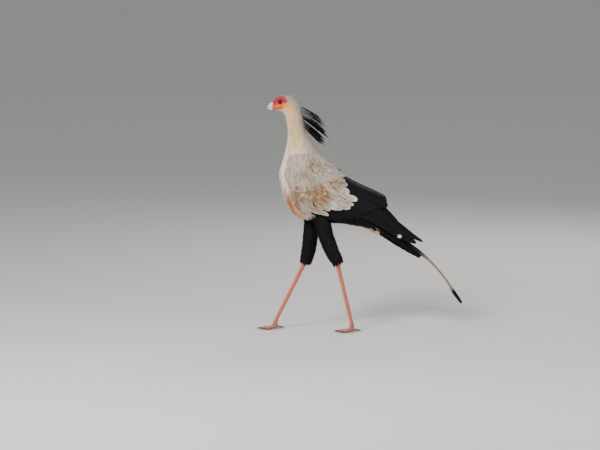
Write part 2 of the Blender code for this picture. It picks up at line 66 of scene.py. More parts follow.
# The trunk from the face to the tail's root. Each station is a slanted ring: its upper
# point x, z, its lower point x, z, and half its width.
TRUNK = (
    (-418, 1110, -418, 1072, 11),
    (-405, 1127, -406, 1069, 17),
    (-390, 1138, -393, 1066, 23),
    (-371, 1143, -381, 1063, 27),
    (-350, 1144, -372, 1059, 29),
    (-326, 1138, -366, 1052, 30),
    (-305, 1120, -361, 1043, 31),
    (-290, 1093, -358, 1032, 31),
    (-279, 1061, -356, 1017, 32),
    (-273, 1027, -353, 1000, 33),
    (-268, 991, -351, 976, 35),
    (-254, 955, -351, 945, 39),
    (-233, 919, -355, 909, 46),
    (-212, 885, -364, 868, 56),
    (-190, 852, -376, 822, 67),
    (-160, 826, -390, 768, 79),
    (-127, 802, -381, 701, 87),
    (-93, 771, -361, 631, 91),
    (-59, 735, -318, 568, 91),
    (-28, 696, -244, 537, 87),
    (1, 657, -160, 527, 77),
    (27, 621, -88, 524, 63),
    (51, 587, -21, 512, 48),
    (73, 556, 37, 498, 34),
    (94, 531, 80, 478, 24),
    (118, 508, 110, 470, 15),
)

# The folded wing's outer surface, by the same kind of rings, from the shoulder to its tip.
WING = (
    (-190, 852, -376, 822, 67),
    (-160, 826, -390, 768, 84),
    (-127, 802, -381, 701, 98),
    (-93, 776, -361, 631, 105),
    (-55, 750, -318, 568, 106),
    (-11, 725, -244, 534, 103),
    (37, 700, -160, 522, 95),
    (84, 677, -83, 507, 83),
    (128, 649, -11, 486, 69),
    (165, 598, 58, 466, 55),
    (206, 540, 124, 446, 42),
    (258, 488, 192, 428, 30),
    (316, 441, 260, 408, 20),
)

BILL_UPPER = (
    (-416, 1110.5, -416, 1084.9, 11),
    (-422, 1109.2, -422, 1084.4, 10),
    (-429, 1106.3, -428, 1082.7, 8),
    (-436, 1101, -434, 1080.4, 6.3),
    (-443, 1092, -440, 1076.4, 4.2),
    (-447, 1080, -444, 1071.6, 2.2),
    (-446.5, 1071, -444.5, 1070, 0.7),
)
BILL_LOWER = (
    (-416, 1084.6, -416, 1075, 9.2),
    (-425, 1083.2, -425, 1072.6, 7.8),
    (-433, 1080.8, -433, 1072.4, 5.4),
    (-440, 1076.6, -439, 1073.6, 2),
)

EYE = (-386, 13.3, 1111)  # the right eye's centre; the left is its mirror image
EYE_RADIUS = 10.5
GAZE = (-0.18, 1, 0.02)  # the way the right eye looks
PUPIL = (0.002, 0.002, 0.002)
BROW = ((-405, 1117), (-396, 1122.5), (-383, 1124.5), (-371, 1122.5), (-360, 1116))
GAPE = ((-424, 1084.3), (-400, 1083.4), (-378, 1086))
NOSTRIL = (-411.5, 1101)
MOUTH = ((-416, 1084.7), (-422, 1084.2), (-429, 1082.4), (-436, 1079.5), (-441, 1075.5))

# Points down each leg from the hip to the hock, and the joint of its toes. The thigh's half sizes are
# given at the same points and at one more past the hock.
LEGS = {
    "left": ((-196, -42, 600), (-180, -43, 525), (-164, -41, 465), (-139, -38, 400), (-114, -36, 350)),
    "right": ((-224, 42, 605), (-232, 44, 525), (-239, 48, 460), (-248, 53, 395), (-260, 57, 340)),
}
FEET = {"left": (-40, -30, 38), "right": (-410, 62, 38)}
HEM = 40  # the thigh's feathers close in along the shank over this length
HEM_COUNT = 190  # further feathers round each thigh's hem
THIGH_DEPTH = (42, 40, 37, 35, 31, 20)
THIGH_WIDTH = (34, 34, 32, 29, 26, 17)
SHANK_DEPTH = (12, 13, 10, 9, 9, 8.5, 11)
FLATNESS = 0.82  # a shank's width over its depth
PAD_HEIGHT = 12  # the middle of the foot's pad over the floor
SOLE_GAP = 0.2  # between the floor and the toes' flat undersides
CLAW_GAP = 0.3
# Each toe: heading from straight ahead in degrees, length, base radius, claw length.
TOES = {
    "middle": (0, 64, 8.5, 23),
    "inner": (32, 46, 8, 25),
    "outer": (-30, 49, 7.5, 20),
    "hind": (172, 25, 7.5, 24),
}

# The tail's middle line in side view, and for each pair of feathers the share of it that
# it reaches, its slope down and out in degrees and its half width.
TAIL_LINE = (
    (70, 522),
    (118, 493),
    (190, 446),
    (238, 413),
    (286, 376),
    (334, 332),
    (388, 276),
    (442, 208),
    (498, 137),
)
TAIL_PAIRS = (
    (1.0, 22, 17),
    (0.475, 42, 21),
    (0.44, 48, 20),
    (0.395, 54, 19),
    (0.34, 58, 18),
    (0.28, 62, 17),
)

# The tips of the primaries that show, as place and angle on the folded wing.
PRIMARY_TIPS = ((11.8, 48), (11.3, 64), (10.9, 80), (11.6, 100), (10.4, 98))


def linear(colour):
    """A colour written as sRGB hex, as the linear numbers that shaders take."""
    shares = (int(colour[i : i + 2], 16) / 255 for i in (1, 3, 5))
    return tuple(s / 12.92 if s <= 0.04045 else ((s + 0.055) / 1.055) ** 2.4 for s in shares)


def colour_choice(name, description, colour):
    return FloatVectorProperty(
        name=name, description=description, subtype="COLOR", min=0, max=1, default=linear(colour)
    )


def length_choice(name, description, metres):
    return FloatProperty(
        name=name, description=description, subtype="DISTANCE", unit="LENGTH", min=0, default=metres
    )


class BirdPlumage(bpy.types.PropertyGroup):
    crown: colour_choice("Crown", "Grey-buff of the crown and nape", "#8F8378")
    nape: colour_choice("Back of neck", "Grey of the back of the neck", "#978B80")
    neck: colour_choice("Neck", "Cream of the neck's sides and front", "#C8AB80")
    throat: colour_choice("Throat", "Pale throat below the bill", "#DACBB2")
    breast: colour_choice("Breast", "Cream-white breast", "#DBD1C3")
    blush: colour_choice("Blush", "Warm flush of the lower breast", "#CE8A5A")
    rust: colour_choice("Rust", "Orange-brown streak beside the wing", "#9C4E18")
    mantle: colour_choice("Mantle", "Grey of the upper back", "#A59D94")
    coverts: colour_choice("Wing coverts", "Pale grey of the folded wing", "#A99E8F")
    dust: colour_choice("Worn coverts", "Brown of faded wing coverts", "#80552F")
    white: colour_choice("White", "Tips and edges that stay white", "#EAE3D8")
    black: colour_choice("Black", "Flight feathers, belly and thighs", "#100F13")
    slate: colour_choice("Tail grey", "Brownish grey of the two longest tail feathers", "#85786A")
    head_spacing: length_choice("Head spacing", "Distance between the head's feathers", 0.0019)
    neck_spacing: length_choice("Neck spacing", "Distance between the neck's feathers", 0.0035)
    body_spacing: length_choice("Body spacing", "Distance between the body's feathers", 0.0064)
    thigh_spacing: length_choice("Thigh spacing", "Distance between the thighs' feathers", 0.0058)
    coat_depth: length_choice("Coat depth", "How far the skin lies under the feather tips", 0.006)
    crest_plumes: IntProperty(name="Crest plumes", description="Plumes of the crest", min=2, default=24)


class BirdBareParts(bpy.types.PropertyGroup):
    red: colour_choice("Brow red", "Bare skin round and before the eye", "#AE0E1E")
    orange: colour_choice("Cheek orange", "Bare skin of the cheek and the gape", "#D95B0A")
    yellow: colour_choice("Cheek yellow", "Fading rim of the bare skin", "#DDA048")
    leg: colour_choice("Leg pink", "Scaled skin of the shanks", "#C4694F")
    toe: colour_choice("Toe brown", "Scaled skin of the toes", "#A26454")
    bill: colour_choice("Bill", "Blue-grey horn of the bill", "#C3C8D2")
    bill_tip: colour_choice("Bill tip", "Darker horn of the hook and edges", "#7C8490")
    claw: colour_choice("Claw", "Dark horn of the claws", "#3A3432")
    iris: colour_choice("Iris", "Dark brown iris", "#2A150B")


class BirdStage(bpy.types.PropertyGroup):
    floor: colour_choice("Floor", "Plain pale floor", "#CBC8C2")
    floor_radius: length_choice("Floor radius", "How far the floor reaches", 70.0)
    lamp_power: FloatProperty(
        name="Main light",
        description="Power of the main soft light",
        subtype="POWER",
        unit="POWER",
        min=0,
        default=320,
    )
    sky: FloatProperty(name="Sky", description="Brightness of the even light all round", min=0, default=0.5)


# Surfaces: each is a function that gives points for arrays of places u and angles.


def row_at(table, u):
    """Rows of a table at places u, on a smooth curve that runs on straight past its ends."""
    last = len(table) - 1
    inside = np.clip(u, 0, last)
    i = np.minimum(inside.astype(int), last - 1)
    t = (inside - i)[..., None]
    p, q, r, s = (table[np.clip(i + k, 0, last)] for k in (-1, 0, 1, 2))
    row = 0.5 * (2 * q + (r - p) * t + (2 * p - 5 * q + 4 * r - s) * t**2 + (3 * q - p - 3 * r + s) * t**3)
    past = (u - inside)[..., None]
    slope = np.where(past > 0, table[last] - table[last - 1], table[1] - table[0])
    return row + past * slope


def ringed(table, squares=(SQUARE, SQUARE)):
    """The surface through a table of slanted rings; the angle is 0 on top and positive to the right.
    The squares are the exponents of the rings' upper and lower halves."""
    table = np.array(table, float) * MM

    def at(u, angle):
        row = row_at(table, u)
        square = np.where(np.cos(angle) > 0, *squares)
        along, across = (np.sign(v) * np.abs(v) ** (2 / square) for v in (np.cos(angle), np.sin(angle)))
        upper, lower = row[..., 0:2], row[..., 2:4]
        middle = (upper + lower) / 2 + (upper - lower) / 2 * along[..., None]
        return np.stack([middle[..., 0], row[..., 4] * across, middle[..., 1]], -1)

    return at


def unit(vectors):
    return vectors / np.maximum(np.linalg.norm(vectors, axis=-1, keepdims=True), 1e-12)


def limb(path, depths, widths):
    """The surface of a limb along a path of points; the angle is 0 in front and positive to the left."""
    path = np.array(path, float) * MM
    sizes = np.array([depths, widths], float).T * MM

    def at(u, angle):
        centre = row_at(path, u)
        ahead = unit(row_at(path, u + 0.05) - row_at(path, u - 0.05))
        across = unit(np.array([0.0, 1.0, 0.0]) - ahead * ahead[..., 1:2])
        fore = np.cross(across, ahead)
        size = row_at(sizes, u)
        return (
            centre
            + fore * (size[..., 0] * np.cos(angle))[..., None]
            - across * (size[..., 1] * np.sin(angle))[..., None]
        )

    return at


def tangents(surface, u, angle):
    """A surface's two tangents and its outward normal at places on it."""
    step = 0.02
    by_u = (surface(u + step, angle) - surface(u - step, angle)) / (2 * step)
    by_angle = (surface(u, angle + step) - surface(u, angle - step)) / (2 * step)
    return by_u, by_angle, unit(np.cross(by_u, by_angle))


def dot(a, b):
    return (a * b).sum(-1)


def smooth(low, high, value):
    t = np.clip((value - low) / (high - low), 0, 1)
    return t * t * (3 - 2 * t)


def ridge(distance, width):
    """1 on a line, and next to nothing from two widths away."""
    return np.exp(-((distance / width) ** 2))


def mix(a, b, amount):
    return a + (np.asarray(b) - a) * np.asarray(amount)[..., None]


def thigh_path(word):
    """A thigh's points in millimetres, with one more along the shank, round which its hem closes."""
    hock, joint = (np.array(p, float) for p in (LEGS[word][-1], FEET[word]))
    return [*LEGS[word], hock + unit(joint - hock) * HEM]


trunk, wing = ringed(TRUNK), ringed(WING)
thighs = {word: limb(thigh_path(word), THIGH_DEPTH, THIGH_WIDTH) for word, _ in SIDES}


# Markings: the colours of skin and feathers by their place on the bird.


def palette():
    """The colours of the plumage and the bare parts, by name."""
    colours = {}
    for group in (bpy.context.scene.bird_plumage, bpy.context.scene.bird_bare_parts):
        for name in group.__annotations__:
            value = getattr(group, name)
            if hasattr(value, "__len__"):
                colours[name] = np.array(value)
    return colours


def spot(points, x, z, half_x, half_z, lean=0.0):
    """1 in the middle of an oval in side view, falling to 0 outside; it leans by a slope of x on z."""
    away_z = (points[..., 2] - z * MM) / (half_z * MM)
    away_x = (points[..., 0] - x * MM - lean * (points[..., 2] - z * MM)) / (half_x * MM)
    return np.exp(-((away_x**2 + away_z**2) ** 1.5))


def eye_distance(x, z):
    """Distance in millimetres to the eye's middle in side view, stretched to the shape of the lids."""
    return np.hypot((x - EYE[0]) / 1.06, (z - EYE[2]) / np.where(z > EYE[2], 0.84, 0.94))


def nostril_distance(x, z):
    """Below 1 in the nostril's slit, in side view, and 1 on its rim."""
    return np.hypot((x - NOSTRIL[0]) / 3.4, (z - NOSTRIL[1]) / 1.4)


# The bare face is three ovals in side view, with their places and half sizes.
FACE_OVALS = ((-391, 1116, 38, 27), (-402, 1088, 32, 14), (-355, 1097, 15, 8))


def face_reach(points):
    """Below 1 on the bare skin of the face, 1 on its border and more in the feathers round it."""
    x, y, z = points[..., 0] / MM, np.abs(points[..., 1]) / MM, points[..., 2] / MM
    reach = np.minimum.reduce([((x - at) / a) ** 2 + ((z - up) / b) ** 2 for at, up, a, b in FACE_OVALS])
    ragged = 0.04 * np.sin(0.31 * x + 3 * np.sin(0.23 * z)) + 0.04 * np.sin(0.57 * z - 0.22 * x)
    wedge = 9 * smooth(-414, -386, x) + 0.7 * np.sin(0.8 * x)
    parting = smooth(2.5, -0.5, y - wedge) * smooth(1122, 1128, z)
    return reach + ragged + parting


def bareness(points):
    """1 on the bare skin of the face and 0 where feathers grow."""
    return smooth(1.25, 0.95, face_reach(points))


def face_colour(points, colours):
    """Red round the eye, orange along the mouth, and yellow where the bare skin ends behind it."""
    x, z = points[..., 0] / MM, points[..., 2] / MM
    border = 1099 + 1.6 * np.sin(0.33 * x) + 1.1 * np.sin(0.71 * x + 1)
    skin = mix(colours["orange"], colours["red"], smooth(-4.5, 4.5, z - border))
    skin = mix(skin, colours["red"] * 1.15, 0.8 * spot(points, -404, 1118, 14, 14))
    skin = mix(skin, colours["yellow"], smooth(-378, -356, x) * smooth(1112, 1100, z))
    skin = mix(skin, colours["yellow"], 0.2 * spot(points, -392, 1090, 20, 4.5))
    return mix(skin, colours["red"], 0.35 * spot(points, -373, 1084, 8, 8))


# Spots on the trunk: colour and its shade, strength, then place, half sizes and lean of the spot.
TRUNK_SPOTS = (
    ("yellow", 1, 0.55, -346, 1092, 24, 18),
    ("orange", 1, 0.2, -342, 1084, 12, 10),
    ("blush", 1, 0.45, -333, 1046, 9, 28, 0.3),
    ("neck", 0.75, 0.35, -318, 985, 16, 60, 0.1),
    ("blush", 1, 0.8, -318, 590, 56, 40),
    ("blush", 1, 0.3, -352, 700, 40, 70),
    ("rust", 1, 0.95, -346, 645, 15, 62, -0.35),
)

# Worn patches of the coverts: strength, then place and half sizes.
WORN_SPOTS = (
    (0.8, -218, 802, 38, 28),
    (0.5, -274, 768, 28, 24),
    (0.9, -120, 724, 46, 24),
    (1.2, -205, 664, 58, 60),
    (1.0, -300, 662, 32, 56),
    (0.5, -62, 658, 26, 28),
)


def trunk_colour(points, u, angle, colours):
    """The plumage's colour on the head, neck and body."""
    up = np.abs(angle)
    back = smooth(1.75, 0.75, up)
    colour = mix(colours["neck"], colours["nape"], back)
    colour = mix(colour, colours["throat"], smooth(2.1, 2.7, up) * 0.8)
    colour = mix(colour, colours["crown"], smooth(8, 5.5, u) * smooth(1.7, 1.1, up))
    colour = mix(colour, mix(colours["breast"], colours["mantle"], back), smooth(11.3, 14.2, u))
    for name, shade, strength, *place in TRUNK_SPOTS:
        colour = mix(colour, colours[name] * shade, strength * spot(points, *place))
    colour = mix(colour, colours["black"], smooth(18.35, 18.7, u - 0.85 * smooth(1.8, 1.5, up)))
    colour = mix(colour, colours["white"], smooth(22.6, 22.9, u) * smooth(0.75, 0.6, up))
    x, z = points[..., 0] / MM, points[..., 2] / MM
    under = smooth(21.9, 22.2, u) * smooth(1.4, 1.6, up) * smooth(3, -3, z - 519 + 0.15 * (x + 32))
    return mix(colour, mix(colours["white"], colours["blush"], 0.7), under)


def wornness(points):
    """How faded and brown the wing coverts are."""
    return np.maximum.reduce([strength * spot(points, *place) for strength, *place in WORN_SPOTS])


def covert_colour(points, colours):
    """The pale wing: grey, darker below the shoulder and whiter low down and behind."""
    dark = 0.6 * spot(points, -245, 745, 60, 22)
    pale = 0.6 * (spot(points, -128, 618, 16, 26) + spot(points, -40, 665, 44, 60))
    return mix(mix(colours["coverts"], colours["mantle"] * 0.75, dark), colours["white"], pale)


# Feathers: one blank is shaped, then laid many times over a surface.


def feather_blank(rows, around, outline):
    """A flat closed feather along X from its root at 0 to its tip at 1, both half sizes 1, in triangles."""
    mesh = bmesh.new()
    bmesh.ops.create_uvsphere(mesh, u_segments=around, v_segments=rows, radius=1)
    bmesh.ops.triangulate(mesh, faces=mesh.faces)
    for vert in mesh.verts:
        x, y, z = vert.co
        along = 1 - (1 - math.acos(max(-1.0, min(1.0, -z))) / math.pi) ** 1.4
        reach = math.hypot(x, y)
        share = outline(along) / reach if reach > 1e-4 else 0
        vert.co = (along, x * share, y * share)
    bmesh.ops.recalc_face_normals(mesh, faces=mesh.faces)
    mesh.verts.ensure_lookup_table()
    points = np.array([vert.co[:] for vert in mesh.verts])
    faces = np.array([[vert.index for vert in face.verts] for face in mesh.faces])
    mesh.free()
    return points, faces


def round_tip(along, start):
    """An outline's narrowing to a half oval past its start."""
    return (1 - max(0.0, (along - start) / (1 - start)) ** 2) ** 0.5


def rounded(along):
    """A body feather's outline: narrow at the root and round at the tip."""
    return (0.45 + 0.55 * min(along / 0.5, 1)) * round_tip(along, 0.5)


def lance(along):
    """A narrow outline that tapers to a soft point, as on the head, neck and thighs."""
    return min(1, 0.5 + 2 * along) * (1 - along**2.2) ** 0.75


def long_vane(along):
    """A flight feather's outline: even, with a round tip."""
    return (0.35 + 0.65 * min(along / 0.22, 1)) * round_tip(along, 0.86)


def plume(along):
    """A crest plume's outline: a thin stalk that widens near its end."""
    return (0.32 + 0.68 * math.sin(math.pi * min(along * 1.05, 1) ** 1.6)) * round_tip(along, 0.8)


SMALL = feather_blank(8, 6, rounded)
NARROW = feather_blank(5, 4, lance)
COVERT = feather_blank(18, 12, rounded)
QUILL = feather_blank(56, 10, long_vane)
PLUME = feather_blank(40, 8, plume)
SHAFT = feather_blank(12, 4, lambda along: 1 - 0.7 * along)


def parted(outline, along, side, splits, rng):
    """An outline with splits where a vane's barbs have come apart, slanting towards the tip."""
    one_each = (len(outline), 1)
    for _ in range(splits):
        place, depth = rng.uniform(0.3, 0.95, one_each), rng.uniform(0, 0.5, one_each) ** 1.5
        flank = side * rng.choice((-1, 1), one_each) > 0
        outline = outline * (1 - depth * flank * ridge(along - place, 0.035))
    return outline


def lay(
    surface, start, end, half, blank, lift, rise, rng,
    thick=0.3 * MM, tilt=0.0, camber=0.12, fray=0.1, splits=0,
):
    """Feathers on a surface, each from its root's place and angle to its tip's. They stand lift over it
    at the root and rise more at the tip, curve down to both edges and have slightly frayed outlines."""
    along, side, up = blank[0].T
    way = end - start
    u, angle = (start[:, i : i + 1] + way[:, i : i + 1] * along for i in (0, 1))
    by_u, by_angle, normal = tangents(surface, u, angle)
    across = unit(np.cross(normal, by_u * way[:, None, 0:1] + by_angle * way[:, None, 1:2]))
    uu, ua, aa = dot(by_u, by_u), dot(by_u, by_angle), dot(by_angle, by_angle)
    first, second = dot(across, by_u), dot(across, by_angle)
    spread = np.maximum(uu * aa - ua * ua, 1e-12)
    phase = rng.uniform(0, 2 * math.pi, (len(start), 1))
    ripple = np.sin(23 * along * (1 + 0.3 * np.sin(phase)) + phase + 2 * side)
    edge = 1 + fray * ripple * smooth(0.2, 0.6, along)
    away = half[:, None] * side * parted(edge, along, side, splits, rng)
    u = u + (first * aa - second * ua) / spread * away
    angle = angle + (second * uu - first * ua) / spread * away
    height = lift[:, None] + rise[:, None] * along - camber * half[:, None] * side**2
    height = height + tilt * away + up * thick / 2
    return surface(u, angle) + normal * height[..., None]


def towards(surface, place, way, length):
    """The places at a length from given ones, where way is a direction by place and by turn."""
    steps = tangents(surface, place[:, 0], place[:, 1])[:2]
    sizes = [np.maximum(np.linalg.norm(step, axis=-1), 0.004) for step in steps]
    return place + way * (length / np.array(sizes)).T


def scatter(surface, first, last, spacing, rng, keep):
    """Places all round a surface from a first to a last, none nearer to another than the spacing."""
    low, high = np.array([first, -math.pi]), np.array([last, math.pi])

    def drawn(count):
        """Random places, with the area of surface that a step of place and angle covers at each."""
        trial = rng.uniform(low, high, (count, 2))
        by_u, by_angle, _ = tangents(surface, trial[:, 0], trial[:, 1])
        return trial, np.linalg.norm(np.cross(by_u, by_angle), axis=-1)

    cell = drawn(4000)[1]
    area = cell.mean() * np.prod(high - low)
    wanted = int(7 * area / spacing**2)
    trial, cell = drawn(int(wanted * cell.max() / cell.mean()))
    trial = trial[rng.uniform(0, cell.max(), len(trial)) < cell]
    points = surface(trial[:, 0], trial[:, 1])
    chosen = keep(points, trial[:, 0], trial[:, 1])
    trial, points = trial[chosen], points[chosen]
    tree = tree_of(points)
    free = np.ones(len(points), bool)
    for i, point in enumerate(points):
        if free[i]:
            for _, other, _ in tree.find_range(point, spacing):
                if other > i:
                    free[other] = False
    return trial[free]


def tree_of(points):
    """A search tree that finds the nearest of its points."""
    tree = kdtree.KDTree(len(points))
    for i, point in enumerate(points):
        tree.insert(point, i)
    tree.balance()
    return tree


class Coat:
    """Feathers gathered for one piece, with their colours and two sets of UVs."""

    def __init__(self):
        self.points, self.faces, self.colours, self.vanes, self.patches = [], [], [], [], []
        self.size = 0

    def add(self, points, blank, colours, half, roots, whole):
        """Adds laid feathers. The colours are one a feather or one a point. A feather's patch lies where
        its root does between the two corners of the whole unwrap."""
        shape, faces = blank
        count, each = points.shape[:2]
        if colours.ndim == 2:
            colours = np.repeat(colours[:, None], each, 1)
        reach = np.linalg.norm(points.max(1) - points.min(1), axis=-1)
        vanes = np.stack([reach[:, None] * shape[:, 0], half[:, None] * shape[:, 1]], -1) / MM
        low, high = np.array(whole)
        place = (roots - low) / (high - low) * 0.99
        patch = np.stack([shape[:, 0], shape[:, 1] / 2 + 0.5], -1) * 0.003
        self.points.append(points.reshape(-1, 3))
        self.faces.append((faces + np.arange(count)[:, None, None] * each).reshape(-1, 3) + self.size)
        self.colours.append(colours.reshape(-1, 3))
        self.vanes.append(vanes.reshape(-1, 2))
        self.patches.append((place[:, None] + patch).reshape(-1, 2))
        self.size += count * each

    def piece(self, name, material, slot, *replaced):
        points, faces = np.concatenate(self.points), np.concatenate(self.faces)
        mesh = mesh_from(name, points, faces)
        paint(mesh, np.concatenate(self.colours))
        for label, places in (("Vane", self.vanes), ("OFBake", self.patches)):
            layer = mesh.uv_layers.new(name=label)
            layer.data.foreach_set("uv", np.concatenate(places)[faces.ravel()].astype(np.float32).ravel())
        mesh.set_sharp_from_angle(angle=math.radians(70))
        finished(name, mesh, material, slot, *replaced)


def mesh_from(name, points, faces):
    """A mesh of triangles from arrays."""
    mesh = bpy.data.meshes.new(name)
    mesh.vertices.add(len(points))
    mesh.vertices.foreach_set("co", points.astype(np.float32).ravel())
    mesh.loops.add(faces.size)
    mesh.loops.foreach_set("vertex_index", faces.astype(np.int32).ravel())
    mesh.polygons.add(len(faces))
    mesh.polygons.foreach_set("loop_start", np.arange(0, faces.size, 3, dtype=np.int32))
    mesh.update(calc_edges=True)
    mesh.shade_smooth()
    return mesh


def paint(mesh, colours):
    """Writes one linear colour a point to the attribute that the materials read."""
    values = np.column_stack([colours, np.ones(len(colours))])
    layer = mesh.color_attributes.new("marking", "FLOAT_COLOR", "POINT")
    layer.data.foreach_set("color", values.astype(np.float32).ravel())


def finished(name, mesh, material, slot, *replaced):
    """An object from a mesh, riding on the bird and standing for the nodes that it replaces."""
    mesh.materials.append(material)
    made = bpy.data.objects.new(name, mesh)
    bpy.context.scene.collection.objects.link(made)
    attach(made, BODY)
    if replaced:
        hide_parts(*replaced)


# Materials. The sizes of their patterns are in millimetres. Barbs are drawn coarser than the real
# 0.3 mm, so that they show, and cling together in strands, which part here and there.
BARB = 0.9
STRAND = 3.4
BLOTCH = 6.25
CLUMP = 29.4
LEG_SCALE = 2.63
WART = 1.28
WRINKLE = 0.91
IRIS_FLECK = 1.11


def add(tree, kind, inputs=None, **settings):
    """A new shader node's outputs. An input is a value or another node's output."""
    made = tree.nodes.new("ShaderNode" + kind)
    for name, value in settings.items():
        setattr(made, name, value)
    for key, value in (inputs or {}).items():
        if isinstance(value, bpy.types.NodeSocket):
            tree.links.new(value, made.inputs[key])
        else:
            made.inputs[key].default_value = value
    return made.outputs


def new_material(name, values):
    """A material with constant values on its shader, by the names of its sockets."""
    made = bpy.data.materials.new(name)
    made.use_nodes = True
    shader = made.node_tree.nodes["Principled BSDF"]
    for key, value in values.items():
        shader.inputs[key].default_value = value
    return made, made.node_tree, shader


def marked(tree, shader, shade, height=None, strength=0.0, depth=0.0):
    """Gives a shader the piece's own markings times a shade, and a height's relief, its depth in metres."""
    marking = add(tree, "Attribute", attribute_name="marking")["Color"]
    colour = add(tree, "VectorMath", {0: marking, "Scale": shade}, operation="SCALE")[0]
    tree.links.new(colour, shader.inputs["Base Color"])
    if height is not None:
        relief = add(tree, "Bump", {"Height": height, "Strength": strength, "Distance": depth})[0]
        tree.links.new(relief, shader.inputs["Normal"])


def pitch(millimetres):
    """The scale of a pattern that repeats at about this many millimetres."""
    return 1 / (millimetres * MM)


def keratin_vane(name, roughness, gloss, sheen, relief, variation):
    """Feather vanes: barbs lie aslant on both sides of the shaft, a fine, soft, directional grain."""
    values = {"Roughness": roughness, "Specular IOR Level": gloss, "Sheen Weight": sheen}
    made, tree, shader = new_material(name, values)
    place = add(tree, "TexCoord")["Object"]
    vane = add(tree, "SeparateXYZ", {"Vector": add(tree, "UVMap", uv_map="Vane")["UV"]})
    aside = add(tree, "Math", {0: vane["Y"]}, operation="ABSOLUTE")[0]
    slant = add(tree, "Math", {0: aside, 1: -1.1, 2: vane["X"]}, operation="MULTIPLY_ADD")[0]
    wave = add(tree, "Math", {0: slant, 1: 2 * math.pi / BARB}, operation="MULTIPLY")[0]
    barbs = add(tree, "Math", {0: wave}, operation="SINE")[0]
    blotch = add(tree, "TexNoise", {"Vector": place, "Scale": pitch(BLOTCH), "Detail": 3.0})["Fac"]
    clump = add(tree, "TexNoise", {"Vector": place, "Scale": pitch(CLUMP), "Detail": 2.0})["Fac"]
    strand = add(tree, "Math", {0: slant, 1: 2 * math.pi / STRAND}, operation="MULTIPLY")[0]
    uneven = add(tree, "Math", {0: blotch, 1: 9.0, 2: strand}, operation="MULTIPLY_ADD")[0]
    strands = add(tree, "Math", {0: uneven}, operation="SINE")[0]
    both = add(tree, "Math", {0: blotch, 1: clump}, operation="ADD")[0]
    limits = {"From Min": 0.6, "From Max": 1.4, "To Min": 1 - variation, "To Max": 1 + variation}
    shade = add(tree, "MapRange", {"Value": both, **limits})["Result"]
    fine = add(tree, "Math", {0: barbs, 1: 0.02, 2: shade}, operation="MULTIPLY_ADD")[0]
    grain = add(tree, "Math", {0: strands, 1: 0.06, 2: fine}, operation="MULTIPLY_ADD")[0]
    height = add(tree, "Math", {0: strands, 1: 1.5, 2: barbs}, operation="MULTIPLY_ADD")[0]
    marked(tree, shader, grain, height, relief, 0.2 * MM)
    return made


def pale_vanes():
    """Pale vanes hold air, which scatters light: matt, with a soft bloom at grazing angles."""
    name = "pale_contour_feathers"
    return keratin_vane(name, roughness=0.85, gloss=0.2, sheen=0.12, relief=0.25, variation=0.2)


def black_vanes():
    """Melanin-black vanes swallow light, and are a little smoother than pale ones."""
    name = "black_flight_feathers"
    return keratin_vane(name, roughness=0.65, gloss=0.1, sheen=0.0, relief=0.3, variation=0.3)


def body_skin():
    """Thin living skin, finely wrinkled on the face and set with small round scales on the legs."""
    values = {"Roughness": 0.55, "Subsurface Weight": 0.12, "Subsurface Radius": (0.003, 0.001, 0.0006)}
    made, tree, shader = new_material("bare_skin", values)
    place = add(tree, "TexCoord")["Object"]
    scaly = add(tree, "Attribute", attribute_name="scaly")["Fac"]
    cell = {"Vector": place, "Scale": pitch(LEG_SCALE)}
    cells = add(tree, "TexVoronoi", cell, feature="DISTANCE_TO_EDGE")
    scale = add(tree, "MapRange", {"Value": cells["Distance"], "From Max": 0.12})["Result"]
    warts = add(tree, "TexVoronoi", {"Vector": place, "Scale": pitch(WART)}, feature="SMOOTH_F1")
    wart = add(tree, "MapRange", {"Value": warts["Distance"], "From Min": 0.7, "From Max": 0.1})["Result"]
    wrinkles = {"Vector": place, "Scale": pitch(WRINKLE), "Detail": 4.0, "Distortion": 1.5}
    folds = add(tree, "TexNoise", wrinkles)["Fac"]
    face = add(tree, "Mix", {"Factor": 0.5, "A": wart, "B": folds}, data_type="FLOAT")["Result"]
    height = add(tree, "Mix", {"Factor": scaly, "A": face, "B": scale}, data_type="FLOAT")["Result"]
    shade = add(tree, "MapRange", {"Value": height, "To Min": 0.55, "To Max": 1.15})["Result"]
    marked(tree, shader, shade, height, 0.9, 0.5 * MM)
    return made


def horn(name, roughness, band):
    """Bill and claw keratin: layered as it grows, so faintly banded and polished by use. The bands
    are this many millimetres apart."""
    made, tree, shader = new_material(name, {"Roughness": roughness, "Coat Weight": 0.2})
    place = add(tree, "TexCoord")["Object"]
    noise = {"Vector": place, "Scale": pitch(band), "Detail": 3.0, "Distortion": 0.6}
    layers = add(tree, "TexNoise", noise)["Fac"]
    limits = {"From Min": 0.3, "From Max": 0.7, "To Min": 0.85, "To Max": 1.08}
    shade = add(tree, "MapRange", {"Value": layers, **limits})["Result"]
    marked(tree, shader, shade, layers, 0.25, 0.4 * MM)
    return made


def wet_eye():
    """An eyeball's clear, wet front over a dark brown iris: the sharpest gloss on the bird."""
    values = {"Roughness": 0.05, "Specular IOR Level": 0.2, "Coat Weight": 0.4, "Coat Roughness": 0.02}
    made, tree, shader = new_material("wet_eyeball", values)
    place = add(tree, "TexCoord")["Object"]
    flecks = add(tree, "TexNoise", {"Vector": place, "Scale": pitch(IRIS_FLECK), "Detail": 2.0})["Fac"]
    shade = add(tree, "MapRange", {"Value": flecks, "To Min": 0.6, "To Max": 1.4})["Result"]
    marked(tree, shader, shade)
    return made


# Closed shells: the body, limbs, bill and claws.


def coordinates(mesh):
    return np.array([vert.co[:] for vert in mesh.verts])


def moved(mesh, points):
    """A bmesh with its vertices moved to the points."""
    for vert, point in zip(mesh.verts, points):
        vert.co = point
    return mesh


